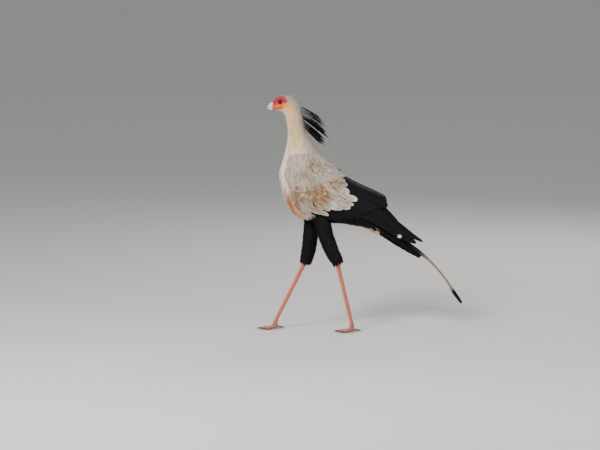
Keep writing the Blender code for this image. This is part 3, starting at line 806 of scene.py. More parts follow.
def settled(name, mesh):
    """A smooth mesh data block from a bmesh, which is freed."""
    data = bpy.data.meshes.new(name)
    mesh.to_mesh(data)
    mesh.free()
    data.shade_smooth()
    return data


def shell(surface, start, end, rows, around, spacing=lambda share: share):
    """A closed shell on a surface between two places, with the place and angle of each of its points."""
    mesh = bmesh.new()
    bmesh.ops.create_uvsphere(mesh, u_segments=around, v_segments=rows + 1, radius=1)
    co = coordinates(mesh)
    ring = np.rint(np.arccos(np.clip(co[:, 2], -1, 1)) / math.pi * (rows + 1)).astype(int)
    share = np.clip((ring - 1) / (rows - 1), 0, 1)
    u = start + (end - start) * spacing(share)
    angle = np.arctan2(co[:, 1], co[:, 0])
    points = surface(u, angle)
    turn = np.linspace(0, 2 * math.pi, around, endpoint=False)
    for pole, place in ((0, start), (rows + 1, end)):
        points[ring == pole] = surface(np.full(around, float(place)), turn).mean(0)
    moved(mesh, points)
    bmesh.ops.recalc_face_normals(mesh, faces=mesh.faces)
    return mesh, u, angle


def inset(surface, depth):
    """The surface that lies a depth inside another."""

    def at(u, angle):
        return surface(u, angle) - tangents(surface, u, angle)[2] * depth

    return at


def joined(meshes):
    """One mesh data block from several bmeshes, which are freed."""
    whole = bmesh.new()
    for mesh in meshes:
        data = settled("part", mesh)
        whole.from_mesh(data)
        bpy.data.meshes.remove(data)
    return settled("joined", whole)


def fused(meshes, voxel, smoothing):
    """Closed shells grown into one even surface, as flesh is."""
    made = bpy.data.objects.new("fused", joined(meshes))
    bpy.context.scene.collection.objects.link(made)
    remesh = made.modifiers.new("Grow together", "REMESH")
    remesh.mode = "VOXEL"
    remesh.voxel_size = voxel
    soften = made.modifiers.new("Soften", "SMOOTH")
    soften.factor = 0.5
    soften.iterations = smoothing
    result = bpy.data.meshes.new_from_object(made.evaluated_get(bpy.context.evaluated_depsgraph_get()))
    bpy.data.objects.remove(made)
    mesh = bmesh.new()
    mesh.from_mesh(result)
    bpy.data.meshes.remove(result)
    return mesh


def from_line(points, line):
    """Distance in millimetres to a line in side view, and the share of the line at its nearest point."""
    flat = points[:, [0, 2]] / MM
    best, share = np.full(len(flat), 1e9), np.zeros(len(flat))
    for i, (a, b) in enumerate(zip(line, line[1:])):
        a, b = np.array(a, float), np.array(b, float)
        t = np.clip(((flat - a) @ (b - a)) / ((b - a) @ (b - a)), 0, 1)
        away = np.linalg.norm(flat - a - t[:, None] * (b - a), axis=-1)
        near = away < best
        best = np.where(near, away, best)
        share = np.where(near, (i + t) / (len(line) - 1), share)
    return best, share


def face_relief(points):
    """How far the face stands out or in, in metres: lids, brow, mouth line, nostrils and folds."""
    x, z = points[:, 0] / MM, points[:, 2] / MM
    eye, nostril = eye_distance(x, z), nostril_distance(x, z)
    relief = 2.1 * ridge(eye - 10.3, 1.3) - 8 * smooth(8.6, 7.4, eye) - 4.4 * np.exp(-((eye / 13) ** 4))
    relief += 0.5 * np.sin(eye * 1.9) * ridge(eye - 15.5, 3.5)
    away, share = from_line(points, BROW)
    relief += 4.4 * np.sin(math.pi * np.clip(share, 0.04, 0.96)) ** 0.6 * ridge(away, 3.4) * (z > 1100)
    away, share = from_line(points, GAPE)
    relief += smooth(1.0, 0.9, share) * (0.9 * ridge(away - 2.4, 1.4) - 2.0 * ridge(away, 0.8))
    relief += 0.6 * ridge(nostril - 1.7, 0.5) - 3.4 * np.exp(-(nostril**4))
    cheek = ridge(x + 388, 20) * ridge(z - 1091, 7)
    relief += 0.4 * np.sin((z + 0.25 * x) * 1.7) * cheek * (1 - ridge(away, 3))
    return relief * MM


def lid_rims_and_painted_shade(points):
    """Darker along the lids' rims, the mouth line and in the nostrils: painted shade in the eye's hollow,
    the mouth's crease and the nostrils, with the lids' own dark rims.
    """
    x, z = points[:, 0] / MM, points[:, 2] / MM
    # Painted shade inside the lids' ring, partly their own dark rims.
    shade = 0.08 + 0.92 * smooth(8.3, 9.8, eye_distance(x, z))
    # Painted shade in the mouth's crease.
    shade = shade * (0.35 + 0.65 * smooth(0.4, 1.4, from_line(points, GAPE)[0]))
    # Painted shade in the nostrils.
    return shade * (0.15 + 0.85 * smooth(0.75, 1.25, nostril_distance(x, z)))


def head_shell():
    """The head and throat: bare face at full size, with the feathered part sunk under its coat."""
    mesh, u, angle = shell(trunk, 0, 10.5, 150, 220, lambda share: share**1.7)
    points, normal = coordinates(mesh), tangents(trunk, np.clip(u, 0.05, 10.5), angle)[2]
    at_side = smooth(0.1, 0.5, np.abs(np.sin(angle))) * smooth(6, 4.5, u) * smooth(0.05, 0.4, u)
    sunk = (1.1 + 2.9 * smooth(6.5, 9.5, u)) * MM
    out = face_relief(points) * at_side - (1 - bareness(points)) * sunk - 0.7 * MM * smooth(0.06, 0, u)
    # The skin laps 3 to 5 mm over the bill's root, furthest below the nostrils.
    lap = 3.2 + 1.8 * np.sin(angle) ** 2 + 0.25 * np.sin(9 * angle)
    points[:, 0] -= lap * smooth(0.45, 0, u) * MM
    points[:, 1] *= 1 - 0.08 * smooth(0.4, 0, u)
    return moved(mesh, points + normal * out[:, None])


def wing_edges(u):
    """The angles between which the folded wing lies, in degrees from the back's middle line."""
    return 15 + 4 * np.abs(u - 2.5), 116 + 18 * np.sin(math.pi * np.clip((u - 0.8) / 5.4, 0, 1))


def folded_arm(side):
    """The arm's flesh under the wing coverts, as a rounded sheet on the wing's surface."""
    mesh = bmesh.new()
    bmesh.ops.create_uvsphere(mesh, u_segments=48, v_segments=24, radius=1)
    co = coordinates(mesh)
    across, along = (0.5 + 0.5 * np.sign(c) * np.abs(c) ** 0.7 for c in co.T[:2])
    u = 0.7 + 4.6 * along
    low, high = wing_edges(u)
    angle = side * np.radians(low + 4 + (high - low - 8) * across)
    depth = (7 + 8 * (1 - co[:, 2])) * MM
    moved(mesh, wing(u, angle) - tangents(wing, u, angle)[2] * depth[:, None])
    bmesh.ops.recalc_face_normals(mesh, faces=mesh.faces)
    return mesh


def tube(path, radii, flatness=1.0, rows=40, around=24):
    """A closed round shell along a smooth path of points in millimetres."""
    surface = limb(path, radii, [r * flatness for r in radii])
    return shell(surface, 0, len(path) - 1, rows, around)[0]


def shank_path(word):
    """Points down a shank in millimetres, from inside the thigh's hem to the toes' joint."""
    knee, hock = (np.array(p, float) for p in LEGS[word][-2:])
    joint = np.array(FEET[word], float)
    down, run = unit(hock - knee), unit(joint - hock)
    return [
        hock - down * 26,
        hock + unit(down + run) * 12,
        hock + run * 34,
        hock + (joint - hock) * 0.45,
        hock + (joint - hock) * 0.7,
        joint - run * 22,
        joint,
    ]


def toe_path(word, toe):
    """Points along a toe in millimetres, its radii and the way it points."""
    heading, length, radius, _ = TOES[toe]
    turn = math.radians(heading) * (1 if word == "left" else -1)
    ahead = np.array([-math.cos(turn), -math.sin(turn), 0])
    x, y, _ = FEET[word]
    heights = (20, 17, 14, 12) if toe == "hind" else (13, 10, 7, 6.5)
    start = np.array([x - 2, y, 0])
    path = [start + ahead * (6 + (length - 6) * t / 3) + (0, 0, h) for t, h in enumerate(heights)]
    return path, [radius * share for share in (1, 0.92, 1.0, 0.66)], ahead


def level_limb(path, radii):
    """The surface of an upright round tube along a path that runs near the floor."""
    path, radii = np.array(path, float) * MM, np.array(radii, float)[:, None] * MM
    ahead = unit((path[-1] - path[0]) * (1, 1, 0))
    across = np.cross((0.0, 0.0, 1.0), ahead)

    def at(u, angle):
        size = row_at(radii, u)
        point = row_at(path, u) + across * size * np.cos(angle)[..., None]
        return point + np.array([0.0, 0.0, 1.0]) * size * np.sin(angle)[..., None]

    return at


def knuckled(path, radii, pads):
    """A toe's surface: swollen at each of its pads, and flat where it stands on the floor."""
    plain = level_limb(path, radii)

    def at(u, angle):
        swell = 1 + 0.07 * np.cos(2 * math.pi * pads * u / 3)
        centre = (plain(u, angle) + plain(u, angle + math.pi)) / 2
        point = centre + (plain(u, angle) - centre) * swell[..., None]
        point[..., 2] = np.maximum(point[..., 2], SOLE_GAP * MM)
        return point

    return at


def foot_shells(word):
    """A foot's pad with the ankle over it, and its four toes, as closed shells."""
    joint = np.array(FEET[word], float)
    run = unit(joint - np.array(LEGS[word][-1], float))
    pad = np.array([joint[0] - 2, joint[1], PAD_HEIGHT])
    ankle = [joint - run * 8, joint + (pad - joint) * 0.5, pad, pad - (0, 0, 7)]
    meshes = [tube(ankle, (9.5, 12, 14, 10), 0.92, 16)]
    for toe in TOES:
        path, radii, ahead = toe_path(word, toe)
        first = path[0] - ahead * 4
        meshes.append(shell(knuckled([first, *path[1:]], radii, 2 if toe == "hind" else 3), 0, 3, 40, 24)[0])
    return meshes


def grid(last, rows, angles):
    """Places from 0 to a last one and angles, each with each, as two flat arrays."""
    return (a.ravel() for a in np.meshgrid(np.linspace(0, last, rows), angles))


def body_samples(colours):
    """Points over the trunk, wings and thighs with the plumage's colour at each."""
    u, angle = grid(25, 180, np.linspace(-math.pi, math.pi, 90))
    samples = [trunk(u, angle)]
    tones = [trunk_colour(samples[0], u, angle, colours)]
    u, angle = grid(6, 50, np.radians(np.linspace(14, 118, 40)))
    for _, side in SIDES:
        points = wing(u, side * angle)
        pale = smooth(0.1, -0.1, u - covert_rear(np.degrees(angle)))
        samples.append(points)
        tones.append(mix(colours["black"], covert_colour(points, colours), pale))
    u, angle = grid(4, 30, np.linspace(-math.pi, math.pi, 30))
    for word, _ in SIDES:
        samples.append(thighs[word](u, angle))
        tones.append(np.broadcast_to(colours["black"], samples[-1].shape))
    return tree_of(np.concatenate(samples)), np.concatenate(tones)


def covert_rear(degrees):
    """Where the greater coverts end, which is the edge between the pale and the black of the wing."""
    return 3.4 + 2.85 * ridge(degrees - 80, 40) + 0.6 * np.clip((degrees - 90) / 40, 0, 1)


def scaled_tone_and_painted_light(mesh, colours):
    """Pink shanks, stronger near the hock, and browner toes, with painted light by the way each point faces:
    shanks paler in front and darker behind, toes paler on top and dark beneath.
    """
    height = coordinates(mesh)[:, 2]
    normal = np.array([vert.normal[:] for vert in mesh.verts])
    tone = mix(colours["toe"], colours["leg"], smooth(0.02, 0.07, height))
    tone = mix(tone, colours["leg"] * (1.05, 0.8, 0.7), 0.7 * smooth(0.25, 0.36, height))
    # Painted highlight on the shanks' fronts and painted shade on their backs.
    shank = 0.95 - 0.3 * normal[:, 0]
    # Painted highlight on the toes' tops and painted shade beneath them.
    toes = 0.85 + 0.35 * normal[:, 2]
    return tone * (toes + (shank - toes) * smooth(0.02, 0.06, height))[:, None]


class BIRD_OT_skin(bpy.types.Operator):
    """One skin for the head, neck, body, wings, thighs, shanks and toes"""

    bl_idname = "bird.skin"
    bl_label = "Skin"

    def execute(self, context):
        colours = palette()
        depth = context.scene.bird_plumage.coat_depth
        flesh = [shell(inset(trunk, depth), 9.6, 25, rows=60, around=40)[0]]
        flesh += [shell(inset(thighs[word], depth), 0, 4, rows=30, around=28)[0] for word, _ in SIDES]
        flesh += [folded_arm(side) for _, side in SIDES]
        meshes = [head_shell(), fused(flesh, BODY_VOXEL * MM, 4)]
        for word, _ in SIDES:
            shank = tube(shank_path(word), SHANK_DEPTH, FLATNESS, 90, 24)
            meshes.append(fused([shank, *foot_shells(word)], LEG_VOXEL * MM, 2))
        tones, scaly = [], []
        tree, plumage = body_samples(colours)
        for mesh, scales in zip(meshes, (0.0, 0.0, 1.0, 1.0)):
            points = coordinates(mesh)
            if scales:
                # The legs' own colours, with painted highlight and shade on shanks and toes.
                tone = scaled_tone_and_painted_light(mesh, colours)
            else:
                tone = plumage[[tree.find(point)[1] for point in points]]
            if mesh is meshes[0]:
                tone = mix(tone, face_colour(points, colours), bareness(points))
                # Painted shade in the face's hollows, with the lids' own dark rims.
                tone = tone * lid_rims_and_painted_shade(points)[:, None]
            tones.append(tone)
            scaly.append(np.full(len(points), scales))
        data = joined(meshes)
        paint(data, np.concatenate(tones))
        layer = data.attributes.new("scaly", "FLOAT", "POINT")
        layer.data.foreach_set("value", np.concatenate(scaly))
        limbs = [f"{part}_{word}" for part in ("wing", "thigh", "shank", "foot") for word, _ in SIDES]
        finished("skin", data, body_skin(), "leg_scales", "head", "neck", "torso", "tail", *limbs)
        return {"FINISHED"}


class BIRD_OT_eyes(bpy.types.Operator):
    """Both eyes, with a raised clear front over a dark iris, and the lashes over them"""

    bl_idname = "bird.eyes"
    bl_label = "Eyes and lashes"

    def execute(self, context):
        colours = palette()
        glass, bristle = wet_eye(), black_vanes()
        bristle.name = "lash_bristle"
        for word, side in SIDES:
            mesh = bmesh.new()
            bmesh.ops.create_uvsphere(mesh, u_segments=48, v_segments=32, radius=EYE_RADIUS * MM)
            co = coordinates(mesh)
            flip = np.array([1, side, 1])
            front = (co @ unit(GAZE * flip)) / (EYE_RADIUS * MM)
            co = co * (1 + 0.05 * smooth(0.72, 0.9, front))[:, None]
            data = settled("eye", moved(mesh, co + EYE * flip * MM))
            tone = mix(colours["iris"] * 0.2, colours["iris"], smooth(0.6, 0.68, front))
            paint(data, mix(tone, PUPIL, smooth(0.915, 0.935, front)))
            finished(f"eyeball_{word}", data, glass, "eye", f"eye_{word}")
            self.lashes(word, side, bristle)
        return {"FINISHED"}

    def lashes(self, word, side, bristle):
        """Long bristles in two rows over the upper lid, which stand out, up and a little back."""
        rng = np.random.default_rng(40 + side)
        count = 28
        turn = np.radians(np.linspace(152, 35, count) + rng.uniform(-2, 2, count))
        ring = np.where(np.arange(count) % 2, 11.0, 9.6)
        across, high, flank = np.cos(turn), np.sin(turn), np.full(count, float(side))
        root = np.stack([EYE[0] + 1.06 * ring * across, 21.5 * flank, EYE[2] + 0.84 * ring * high], -1)
        way = unit(np.stack([0.75 * across + 0.1, 0.75 * flank, 0.62 * high + 0.1], -1))
        length = rng.uniform(9.5, 14, count) * (0.75 + 0.25 * high)
        shape = SHAFT[0]
        path = root[:, None] + way[:, None] * (length[:, None] * shape[:, 0])[..., None]
        path = path + np.array([1.5, 0, -2.6]) * (shape[:, 0:1] ** 2)
        beside = unit(np.cross(way, (0, 0, 1.0)))
        above = np.cross(beside, way)
        path = path + (beside[:, None] * shape[:, 1:2] + above[:, None] * shape[:, 2:3]) * 0.28
        coat = Coat()
        roots = np.stack([turn / math.pi, ring / 20], -1)
        tone, half = np.full((count, 3), 0.006), np.full(count, 0.3 * MM)
        coat.add(path * MM, SHAFT, tone, half, roots, ((0, 0), (1, 1)))
        coat.piece(f"lashes_{word}", bristle, "black_feathers")


class BIRD_OT_bill(bpy.types.Operator):
    """The hooked upper bill and the lower bill"""

    bl_idname = "bird.bill"
    bl_label = "Bill"

    def execute(self, context):
        colours = palette()
        keratin = horn("bill_keratin", roughness=0.35, band=3.85)
        for name, table, node, squares in (
            ("bill_hook", BILL_UPPER, "bill_upper", (SQUARE, FLAT)),
            ("bill_below", BILL_LOWER, "bill_lower", (FLAT, SQUARE)),
        ):
            mesh = shell(ringed(table, squares), 0, len(table) - 1, 70, 64)[0]
            points = coordinates(mesh)
            x, z = points[:, 0] / MM, points[:, 2] / MM
            hook = np.maximum(0.6 * smooth(-432, -446, x), smooth(1082, 1071, z) * smooth(-438, -443, x))
            tone = mix(colours["bill"], colours["bill_tip"], hook)
            edge = smooth(1.6, 0.2, from_line(points, MOUTH)[0])
            tone = mix(tone, colours["bill_tip"] * 0.6, 0.75 * edge)
            data = settled(name, mesh)
            paint(data, mix(tone, colours["orange"], 0.5 * smooth(-425, -421, x + 0.8 * np.sin(0.6 * z))))
            finished(name, data, keratin, "horn", node)
        return {"FINISHED"}


class BIRD_OT_feet(bpy.types.Operator):
    """Claws, and the broad scutes along the front of each shank and the top of each toe"""

    bl_idname = "bird.feet"
    bl_label = "Claws and scutes"

    def execute(self, context):
        colours = palette()
        dark = horn("claw_keratin", roughness=0.3, band=3.12)
        plates = horn("leg_scute", roughness=0.5, band=2.38)
        for word, _ in SIDES:
            for toe in TOES:
                self.claw(word, toe, dark, colours)
            self.scutes(word, plates, colours)
        return {"FINISHED"}

    def claw(self, word, toe, dark, colours):
        """A claw that grows out of the toe's tip, curves down and darkens to its point."""
        path, radii, ahead = toe_path(word, toe)
        drop = (0, 0.5, -2, -7) if toe == "hind" else (0, 1.5, 0.5, -3)
        reach = np.array((-1.5, 0, 0, 0)) + TOES[toe][3] * np.arange(4) / 3
        points = [path[-1] + ahead * r + (0, 0, d) for r, d in zip(reach, drop)]
        sizes = [share * radii[-1] for share in (0.96, 0.84, 0.56, 0.12)]
        mesh, u, _ = shell(level_limb(points, sizes), 0, 3, 26, 16)
        for vert in mesh.verts:
            vert.co.z = max(vert.co.z, CLAW_GAP * MM)
        data = settled("claw", mesh)
        paint(data, mix(colours["claw"] * 1.6, colours["claw"] * 0.6, smooth(0.5, 2.5, u)))
        finished(f"talon_{word}_{toe}", data, dark, "horn", f"claw_{word}_{toe}")

    def scutes(self, word, plates, colours):
        """Overlapping horny plates, each a flat closed blank bent round the front of the limb."""
        rng = np.random.default_rng(60)
        coat = Coat()

        def plate_row(surface, u, angle, length, half, tone, whole):
            count = len(u)
            start = np.stack([u, np.full(count, angle)], -1)
            halves, flat = np.full(count, half * MM), np.full(count, 0.2 * MM)
            shape = (surface, start, start + (length, 0), halves, COVERT, flat * 0.2, flat * 3, rng)
            points = lay(*shape, thick=0.9 * MM, camber=0.0, fray=0.0)
            coat.add(points, COVERT, tone * rng.uniform(0.92, 1.12, (count, 1)), halves, start, whole)

        shank = limb(shank_path(word), SHANK_DEPTH, [d * FLATNESS for d in SHANK_DEPTH])
        u, whole = np.arange(1.1, 5.9, 0.105), ((0, -3), (6.2, 3))
        plate_row(shank, u, 0.0, 0.15, 8.6, colours["leg"] * 1.1, whole)
        for index, toe in enumerate(TOES):
            path, radii, _ = toe_path(word, toe)
            step = 4.6 * 3 / TOES[toe][1]
            whole = ((-0.2 - index, -3), (4 - index, 3))
            u = np.arange(0.35, 2.85, step)
            plate_row(level_limb(path, radii), u, math.pi / 2, step * 1.35, 5.6, colours["toe"], whole)
        coat.piece(f"scutes_{word}", plates, "leg_scales")


def contour_feathers(coat, surface, whole, shape, tone, rng, blank=SMALL, thick=0.3):
    """Small feathers, each one's length, shade and lie varied a little. Their shape gives the roots'
    places, length, half width, way, lift and rise, in millimetres but for the rise, which is a slope."""
    places, length, half, way, lift, rise = shape
    count = len(places)
    length = length * MM * rng.uniform(0.82, 1.18, count)
    half = half * MM * rng.uniform(0.88, 1.12, count)
    swing = rng.normal(0, 0.13, count)
    way = np.stack([way[:, 0] - way[:, 1] * swing, way[:, 1] + way[:, 0] * swing], -1)
    end = towards(surface, places, way, length)
    rise = rise * length * rng.uniform(0.7, 1.35, count)
    lift = np.full(count, lift * MM)
    points = lay(surface, places, end, half, blank, lift, rise, rng, thick * MM)
    along = blank[0][:, 0]
    edge = 1 + 0.1 * smooth(0.6, 1.0, along) - 0.1 * smooth(0.35, 0.0, along)
    tone = tone * rng.uniform(0.9, 1.1, (count, 1))
    coat.add(points, blank, tone[:, None] * edge[:, None], half, places, whole)


# The corners, as place and angle, of the unwraps on which the feathers' patches lie. The tail's go by
# pair and side instead.
TRUNK_WHOLE = ((-1, -3.2), (26, 3.2))
WING_WHOLE = ((-1, -3.2), (13, 3.2))
THIGH_WHOLE = ((-0.5, -3.2), (5, 3.2))
CREST_WHOLE = ((6, -1), (10, 1))
TAIL_WHOLE = ((-1, -2), (7, 2))


class BIRD_OT_head_coat(bpy.types.Operator):
    """Small feathers of the crown, cheeks and throat, and the long feathers of the neck"""

    bl_idname = "bird.head_coat"
    bl_label = "Head and neck feathers"

    def execute(self, context):
        colours, sizes = palette(), context.scene.bird_plumage
        rng = np.random.default_rng(1)
        vanes = pale_vanes()

        def feathered(points, u, angle):
            """Leaves the face bare but for its ragged border, and the cheeks behind it thinly feathered."""
            dense = rng.uniform(0, 1, len(points)) > 0.7 * spot(points, -356, 1092, 26, 16)
            return dense & (face_reach(points) > rng.uniform(0.85, 1.3, len(points)))

        for name, first, last, spacing in (
            ("head_feathers", 0.7, 7.2, sizes.head_spacing),
            ("neck_feathers", 6.6, 14.6, sizes.neck_spacing),
        ):
            places = scatter(trunk, first, last, spacing, rng, feathered)
            u, angle = places.T
            points = trunk(u, angle)
            large = smooth(0.9, 2.4, face_reach(points))
            length = np.interp(u, (1, 7, 14), (9, 15, 26)) * (0.5 + 0.5 * large)
            half = np.interp(u, (1, 7, 14), (1.3, 2.4, 5.2)) * (0.65 + 0.35 * large)
            lift = np.interp(u, (6.5, 9.5), (-1.2, -3.2))
            way = np.stack([np.ones(len(u)), 0.12 * np.sin(5 * u + 3 * angle)], -1)
            streak = np.sin(9 * angle + 2 * np.sin(1.7 * u)) + np.sin(23 * angle + 1.3 * u)
            tone = trunk_colour(points, u, angle, colours) * (1 + 0.05 * smooth(5, 8, u) * streak)[:, None]
            coat = Coat()
            shape = (places, length, half, way, lift, 0.11)
            contour_feathers(coat, trunk, TRUNK_WHOLE, shape, tone, rng, NARROW, 0.15)
            coat.piece(name, vanes, "pale_feathers")
        return {"FINISHED"}


# Rows of rump feathers: place on the trunk, length in millimetres and slope off the back.
RUMP_ROWS = ((18.9, 140, 0.4), (19.7, 130, 0.34), (20.5, 120, 0.28), (21.3, 105, 0.2), (22.1, 90, 0.12))


class BIRD_OT_body_coat(bpy.types.Operator):
    """Feathers of the breast, back, belly and rump"""

    bl_idname = "bird.body_coat"
    bl_label = "Body feathers"

    def execute(self, context):
        colours, sizes = palette(), context.scene.bird_plumage
        rng = np.random.default_rng(2)

        def in_the_open(points, u, angle):
            """Keeps what the folded wings don't hide."""
            up = np.degrees(np.abs(angle))
            low, high = wing_edges(u - 14)
            return ~((u > 15.2) & (u < 21.5) & (up > low + 13) & (up < high - 16))

        places = scatter(trunk, 14, 25.2, sizes.body_spacing, rng, in_the_open)
        tone = trunk_colour(trunk(*places.T), *places.T, colours)
        dark = tone.mean(-1) < 0.12
        for name, chosen, vanes, slot in (
            ("body_feathers_pale", ~dark, pale_vanes(), "pale_feathers"),
            ("body_feathers_black", dark, black_vanes(), "black_feathers"),
        ):
            coat = Coat()
            u, angle = places[chosen].T
            small = smooth(20, 24.5, u)
            vent = smooth(22, 22.8, u) * smooth(1.2, 2, np.abs(angle))
            way = np.tile((1.0, 0.0), (len(u), 1))
            shape = (places[chosen], 26 - 6 * small + 34 * vent, 6.6 - 1.6 * small, way, -5, 0.2)
            contour_feathers(coat, trunk, TRUNK_WHOLE, shape, tone[chosen], rng)
            coat.piece(name, vanes, slot)
        self.rump(colours, rng)
        return {"FINISHED"}

    def rump(self, colours, rng):
        """Long loose black feathers that fill the hollow between the folded wings."""
        coat = Coat()
        count = 7
        for place, length, rise in RUMP_ROWS:
            degrees = np.linspace(-42, 42, count) + rng.uniform(-4, 4, count)
            places = np.stack([place + rng.uniform(-0.3, 0.3, count), np.radians(degrees)], -1)
            way = np.stack([np.ones(count), rng.normal(0, 0.06, count)], -1)
            shape = (places, length, np.full(count, 14.0), way, -2, rise)
            contour_feathers(coat, trunk, TRUNK_WHOLE, shape, colours["black"], rng, COVERT)
        coat.piece("rump_feathers", black_vanes(), "black_feathers")


class BIRD_OT_thigh_coat(bpy.types.Operator):
    """Black feathers of both thighs, with a shaggy hem over the hock"""

    bl_idname = "bird.thigh_coat"
    bl_label = "Thigh feathers"

    def execute(self, context):
        colours, sizes = palette(), context.scene.bird_plumage
        vanes = black_vanes()
        for word, side in SIDES:
            rng = np.random.default_rng(20 + side)
            surface = thighs[word]
            places = scatter(surface, 0.1, 3.7, sizes.thigh_spacing, rng, lambda points, u, angle: u > -1)
            hem = [rng.uniform(3.5, 4.05, HEM_COUNT), rng.uniform(-math.pi, math.pi, HEM_COUNT)]
            places = np.concatenate([places, np.stack(hem, -1)])
            count = len(places)
            low = smooth(2.6, 3.9, places[:, 0])
            way = np.stack([np.ones(count), rng.normal(0, 0.12, count)], -1)
            tone = colours["black"] * rng.uniform(0.6, 1.4, (count, 1))
            # No feather reaches past the hem, which lies 45 mm for each step of place.
            length = np.minimum(24 + 12 * low, (rng.uniform(4.42, 4.58, count) - places[:, 0]) * 45)
            coat = Coat()
            shape = (places, length, 4.4 - 1.6 * low, way, -4.5, 0.24 - 0.12 * low)
            contour_feathers(coat, surface, THIGH_WHOLE, shape, tone, rng, NARROW)
            coat.piece(f"thigh_feathers_{word}", vanes, "black_feathers", f"thigh_{word}")
        return {"FINISHED"}


class BIRD_OT_crest(bpy.types.Operator):
    """The drooping crest: long black plumes, broad near their ends"""

    bl_idname = "bird.crest"
    bl_label = "Crest"

    def execute(self, context):
        colours, count = palette(), context.scene.bird_plumage.crest_plumes
        rng = np.random.default_rng(11)
        share, none = np.arange(count) / (count - 1), np.zeros(count)
        place = 7.0 + 3.1 * share
        angle = np.radians((34 - 10 * share) * np.sin(2.4 * np.arange(count) + 0.4))
        root, normal = trunk(place, angle), tangents(trunk, place, angle)[2]
        fall = np.radians(29 + 12 * share + rng.uniform(-2.5, 2.5, count))
        length = (126 + 28 * np.sin(math.pi * share)) * rng.uniform(0.88, 1.04, count) * MM
        turned = np.where(share < 0.4, rng.uniform(0.12, 0.32, count), rng.uniform(0.3, 0.75, count))
        roll = np.radians(90 * np.sign(angle) * turned)
        half = rng.uniform(6.5, 9.5, count) * MM
        along, beside, thick = PLUME[0].T
        heading = np.stack([np.cos(fall), none, -np.sin(fall)], -1)
        across = np.stack([none, np.cos(roll), np.sin(roll)], -1)
        up = unit(np.cross(across, heading))
        wave = 1 + 0.14 * np.sin(31 * along + rng.uniform(0, 6, (count, 1)) + 2 * beside)
        outward = np.stack([none, root[:, 1] * 0.55, none], -1)
        run = heading * length[:, None] + outward
        points = (root - normal * 3 * MM)[:, None] + run[:, None] * along[:, None]
        points[..., 2] -= 0.05 * length[:, None] * along**2
        points += across[:, None] * (half[:, None] * beside * wave)[..., None]
        points += up[:, None] * (thick * 0.25 * MM - 0.16 * half[:, None] * beside**2)[..., None]
        grey = smooth(0.12, 0.03, along) * smooth(0.5, 0.1, share)[:, None]
        tone = mix(colours["black"] * rng.uniform(0.7, 1.3, (count, 1, 1)), colours["crown"], grey)
        coat = Coat()
        coat.add(points, PLUME, tone, half, np.stack([place, angle], -1), CREST_WHOLE)
        coat.piece("crest_plumes", black_vanes(), "black_feathers")
        return {"FINISHED"}


# The flight feathers of a folded wing: tertials lie over secondaries, and those over primaries. Each
# group has a count, the place and degrees of its first and last root and of the tips between which
# its tips lie, then half width, lift and rise in millimetres, and tilt.
QUILL_GROUPS = (
    (9, ((5.2, 72), (5.2, 98)), PRIMARY_TIPS, 15, -11, 0, 0.2),
    (12, ((3.6, 36), (3.8, 118)), ((8.5, 44), (6.4, 122)), 22, -4, 0, 0.1),
    (8, ((3.3, 14), (2.7, 51)), ((7.8, 16), (8.3, 48)), 19, -6, 9, 0.14),
)


def between(ends, share):
    """Points at shares of the way along a straight line of two points, or a smooth one of more."""
    ends = np.array(ends, float)
    if len(ends) == 2:
        return ends[0] + (ends[1] - ends[0]) * share[:, None]
    return row_at(ends, (len(ends) - 1) * share)


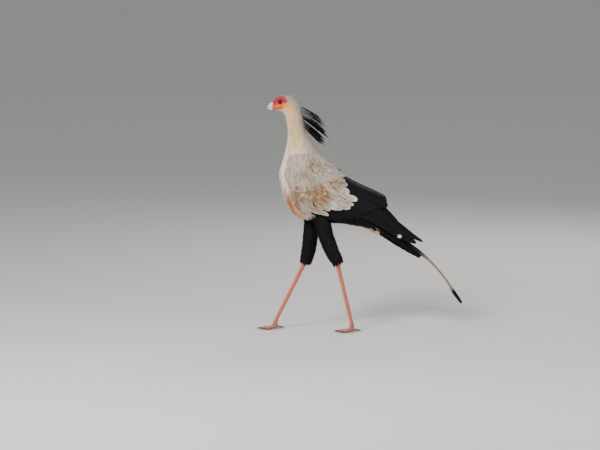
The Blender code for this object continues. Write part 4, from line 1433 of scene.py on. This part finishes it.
class BIRD_OT_wings(bpy.types.Operator):
    """Both folded wings: black primaries, secondaries and tertials under tiers of pale coverts"""

    bl_idname = "bird.wings"
    bl_label = "Wing feathers"

    def execute(self, context):
        colours = palette()
        pale, black = pale_vanes(), black_vanes()
        for word, side in SIDES:
            rng = np.random.default_rng(30 + side)
            quills, shafts = Coat(), Coat()
            for count, roots, tips, half, lift, rise, tilt in QUILL_GROUPS:
                share = np.arange(count) / (count - 1)
                start, end = between(roots, share), between(tips, share)
                end = end + rng.uniform((-0.12, -1), (0.12, 1), (count, 2))
                start, end = (np.stack([e[:, 0], side * np.radians(e[:, 1])], -1) for e in (start, end))
                half, lift, rise, thin = (np.full(count, size * MM) for size in (half, lift, rise, 0.7))
                tone = colours["black"] * rng.uniform(0.7, 1.3, (count, 1))
                habit = {"thick": 0.5 * MM, "tilt": tilt * side, "camber": 0.06, "fray": 0.03, "splits": 5}
                points = lay(wing, start, end, half, QUILL, lift, rise, rng, **habit)
                fleck = smooth(0.25, 0.45, spot(points, 186, 464, 9, 8))
                vanes = mix(tone[:, None], colours["white"], fleck)
                quills.add(points, QUILL, vanes, half, start, WING_WHOLE)
                habit = {"thick": 1.2 * MM, "camber": 0.0, "fray": 0.0}
                points = lay(wing, start, end, thin, SHAFT, lift + 0.3 * MM, rise, rng, **habit)
                shafts.add(points, SHAFT, tone * 1.8, thin, start, WING_WHOLE)
            quills.piece(f"wing_quills_{word}", black, "black_feathers", f"wing_{word}")
            shafts.piece(f"wing_shafts_{word}", black, "black_feathers")
            self.coverts(word, side, pale, colours, rng)
        return {"FINISHED"}

    def coverts(self, word, side, pale, colours, rng):
        """Tiers of pale feathers, the rearmost first, each with a darker shaft and paler edges."""
        coat = Coat()
        rows = 11
        along, beside, _ = COVERT[0].T
        for row in range(rows):
            count = 13 + (row + 1) // 3
            share = (np.arange(count) + 0.5 * (row % 2) + rng.uniform(-0.28, 0.28, count)) / (count - 1)
            degrees = 13 + 114 * share
            rear = covert_rear(degrees)
            higher = row / (rows - 1)
            tip = rear * (1 - 0.96 * higher + rng.uniform(-0.03, 0.03 if row else 0.01, count))
            tip = tip - 1.1 * higher * smooth(95, 35, degrees)
            root = np.maximum(tip - rear * (0.25 if row < 2 else 0.21) * rng.uniform(0.9, 1.1, count), -1.8)
            ruffled = rng.uniform(0, 1, count) ** 4
            swing = rng.normal(0, 1.8, count) + 5 * ruffled * rng.choice((-1, 1), count)
            start = np.stack([root, side * np.radians(degrees)], -1)
            end = np.stack([tip, side * np.radians(degrees + swing)], -1)
            half = (15.5 - 0.35 * row) * MM * rng.uniform(0.82, 1.15, count)
            lift = (1.0 + 0.15 * row + 2 * ruffled) * MM
            rise = (2.6 + 2.5 * ruffled) * MM
            habit = {"tilt": 0.05 * side, "camber": 0.14, "fray": 0.07, "splits": 3}
            points = lay(wing, start, end, half, COVERT, lift, rise, rng, **habit)
            edge = smooth(0.78, 0.98, along) + 0.6 * smooth(0.7, 1.0, np.abs(beside))
            edge = np.clip(edge, 0, 1) * np.ones((count, 1))
            worn = wornness(points) * rng.uniform(0.5, 1.4, (count, 1))
            worn = worn + rng.uniform(-0.05, 0.3, (count, 1))
            tone = covert_colour(points, colours) * rng.uniform(0.8, 1.12, (count, 1, 1))
            tone = mix(tone, colours["dust"], np.clip(worn, 0, 1) * (1 - 0.55 * edge) * 0.85)
            tone = mix(tone, colours["white"], 0.3 * edge * rng.uniform(0, 1, (count, 1)) ** 2)
            shaft = ridge(beside, 0.12) * smooth(0.1, 0.5, along)
            coat.add(points, COVERT, tone * (1 - 0.35 * shaft)[None, :, None], half, start, WING_WHOLE)
        coat.piece(f"wing_coverts_{word}", pale, "pale_feathers", f"wing_{word}")


def tail_middle(t):
    """Points in metres at shares of the length of the tail's middle line."""
    line = np.array(TAIL_LINE, float)
    spans = np.linalg.norm(np.diff(line, axis=0), axis=-1)
    knots = np.concatenate([[0], np.cumsum(spans)]) / spans.sum()
    flat = row_at(line, np.interp(t, knots, np.arange(len(line)))) * MM
    return np.stack([flat[..., 0], np.zeros(np.shape(t)), flat[..., 1]], -1)


class BIRD_OT_tail(bpy.types.Operator):
    """Twelve tail feathers, the middle pair far longer than the rest"""

    bl_idname = "bird.tail"
    bl_label = "Tail feathers"

    def execute(self, context):
        colours = palette()
        quills, shafts = Coat(), Coat()
        for pair in range(len(TAIL_PAIRS)):
            for side in (-1, 1):
                self.feather(quills, QUILL, pair, side, 1.0, 0.6, colours)
                self.feather(shafts, SHAFT, pair, side, 0.055, 1.6, colours)
        quills.piece("tail_quills", black_vanes(), "black_feathers", "tail")
        shafts.piece("tail_shafts", black_vanes(), "black_feathers")
        return {"FINISHED"}

    def feather(self, coat, blank, pair, side, width, thick, colours):
        """One feather's vane, or its shaft: the width is a share of the vane's, thick in millimetres."""
        end, roll, half = TAIL_PAIRS[pair]
        along, beside, up = blank[0].T
        t = 0.02 + (end - 0.02) * along
        ahead = unit(tail_middle(t + 0.01) - tail_middle(t - 0.01))
        down = np.cross(ahead, (0.0, 1.0, 0.0))
        down = down * -np.sign(down[:, 2:3])
        if pair == 0:
            # The long pair narrows to a waist, and its left feather lies over the right one.
            turn = np.radians(roll + 22 * along)
            narrow = 1 - 0.25 * along - 0.35 * smooth(0.42, 0.6, along) * smooth(0.86, 0.8, along)
            rise = 13 * np.minimum(1, 2 - 2 * along) + (1.2 if side == -1 else 0)
            inward = -3
        else:
            turn, narrow = np.radians(roll + 0 * along), 1 + 0 * along
            rise = 10 - 2.6 * pair + 0 * along
            inward = 1.2 + 2.2 * pair
        across = np.array([0.0, side, 0.0]) * np.cos(turn)[:, None] + down * np.sin(turn)[:, None]
        inner = tail_middle(t) + np.array([0, side * inward, 0]) * MM - down * (rise * MM)[:, None]
        reach = half * MM * narrow
        open_out = reach * (0.3 + 0.7 * np.minimum(along / 0.25, 1))
        lowered = up * thick / 2 * MM - 0.06 * reach * beside**2 * (width == 1)
        points = inner + across * (open_out * (1 + beside * width))[:, None]
        points = points + unit(np.cross(across, ahead)) * side * lowered[:, None]
        tone = self.markings(pair, along, colours) * (1 if width == 1 else 2.2)
        root = np.array([[pair, float(side)]])
        coat.add(points[None], blank, tone[None], np.array([half * MM * width]), root, TAIL_WHOLE)

    def markings(self, pair, along, colours):
        """Black with a white tip; the long pair is slate behind its base, with a black end."""
        if pair == 0:
            tone = mix(colours["black"], colours["slate"], smooth(0.4, 0.55, along))
            tone = mix(tone, colours["black"], smooth(0.84, 0.86, along))
            return mix(tone, colours["white"], smooth(0.975, 0.99, along))
        return mix(colours["black"], colours["white"], 0.8 * smooth(0.965, 0.985, along))


# The stage, with places in metres.
SKY_COLOUR = (0.86, 0.89, 0.93, 1)
LIT = Vector((0, 0, 0.6))
WATCHED = Vector((-0.290, 0, 0.517))
VIEWPOINT = WATCHED + Vector((0, -15.86, 2.1))


class BIRD_OT_stage(bpy.types.Operator):
    """A plain pale floor, soft lights and the camera"""

    bl_idname = "bird.stage"
    bl_label = "Floor, lights and camera"

    def execute(self, context):
        settings = context.scene.bird_stage
        mesh = bmesh.new()
        bmesh.ops.create_circle(mesh, cap_ends=True, segments=96, radius=settings.floor_radius)
        data = settled("floor", mesh)
        values = {"Base Color": (*settings.floor, 1), "Roughness": 0.9}
        data.materials.append(new_material("matt_studio_floor", values)[0])
        floor = bpy.data.objects.new("floor", data)
        context.scene.collection.objects.link(floor)
        self.light("main_light", (-2.2, -3.4, 3.6), settings.lamp_power, 1.4)
        self.light("fill_light", (2.8, -2.6, 1.8), settings.lamp_power * 0.2, 2.6)
        self.light("rim_light", (1.4, 3.2, 2.8), settings.lamp_power * 0.22, 2.0)
        world = bpy.data.worlds.new("pale_room")
        world.use_nodes = True
        backdrop = world.node_tree.nodes["Background"]
        backdrop.inputs["Color"].default_value = SKY_COLOUR
        backdrop.inputs["Strength"].default_value = settings.sky
        context.scene.world = world
        self.camera()
        return {"FINISHED"}

    def light(self, name, place, power, size):
        """A square soft light that faces the bird's body."""
        lamp = bpy.data.lights.new(name, "AREA")
        lamp.energy = power
        lamp.size = size
        made = bpy.data.objects.new(name, lamp)
        made.location = place
        made.rotation_euler = (LIT - Vector(place)).to_track_quat("-Z", "Y").to_euler()
        bpy.context.scene.collection.objects.link(made)

    def camera(self):
        """A long lens from 16 m away, a little above the bird, as the photograph looks."""
        lens = bpy.data.cameras.new("camera")
        lens.lens = 200
        lens.sensor_width = 36
        lens.clip_end = 200
        made = bpy.data.objects.new("camera", lens)
        made.location = VIEWPOINT
        made.rotation_euler = (WATCHED - VIEWPOINT).to_track_quat("-Z", "Y").to_euler()
        bpy.context.scene.collection.objects.link(made)
        bpy.context.scene.camera = made


class BIRD_PT_panel(bpy.types.Panel):
    """Lists the bird's pieces and their sizes and colours"""

    bl_idname = "BIRD_PT_panel"
    bl_label = "Secretary bird"
    bl_space_type = "VIEW_3D"
    bl_region_type = "UI"
    bl_category = "Bird"

    def draw(self, context):
        for operator in OPERATORS:
            self.layout.operator(operator.bl_idname)
        for group in (context.scene.bird_plumage, context.scene.bird_bare_parts, context.scene.bird_stage):
            box = self.layout.box()
            for name in group.__annotations__:
                box.prop(group, name)


OPERATORS = (
    BIRD_OT_skin,
    BIRD_OT_eyes,
    BIRD_OT_bill,
    BIRD_OT_feet,
    BIRD_OT_head_coat,
    BIRD_OT_body_coat,
    BIRD_OT_thigh_coat,
    BIRD_OT_crest,
    BIRD_OT_wings,
    BIRD_OT_tail,
    BIRD_OT_stage,
)
CLASSES = (BirdPlumage, BirdBareParts, BirdStage, *OPERATORS, BIRD_PT_panel)


def register():
    for each in CLASSES:
        bpy.utils.register_class(each)
    bpy.types.Scene.bird_plumage = PointerProperty(type=BirdPlumage)
    bpy.types.Scene.bird_bare_parts = PointerProperty(type=BirdBareParts)
    bpy.types.Scene.bird_stage = PointerProperty(type=BirdStage)


def unregister():
    del bpy.types.Scene.bird_plumage
    del bpy.types.Scene.bird_bare_parts
    del bpy.types.Scene.bird_stage
    for each in reversed(CLASSES):
        bpy.utils.unregister_class(each)


def main():
    register()
    bpy.ops.bird.skin()
    bpy.ops.bird.eyes()
    bpy.ops.bird.bill()
    bpy.ops.bird.feet()
    bpy.ops.bird.head_coat()
    bpy.ops.bird.body_coat()
    bpy.ops.bird.thigh_coat()
    bpy.ops.bird.crest()
    bpy.ops.bird.wings()
    bpy.ops.bird.tail()
    bpy.ops.bird.stage()


if __name__ == "__main__":
    main()
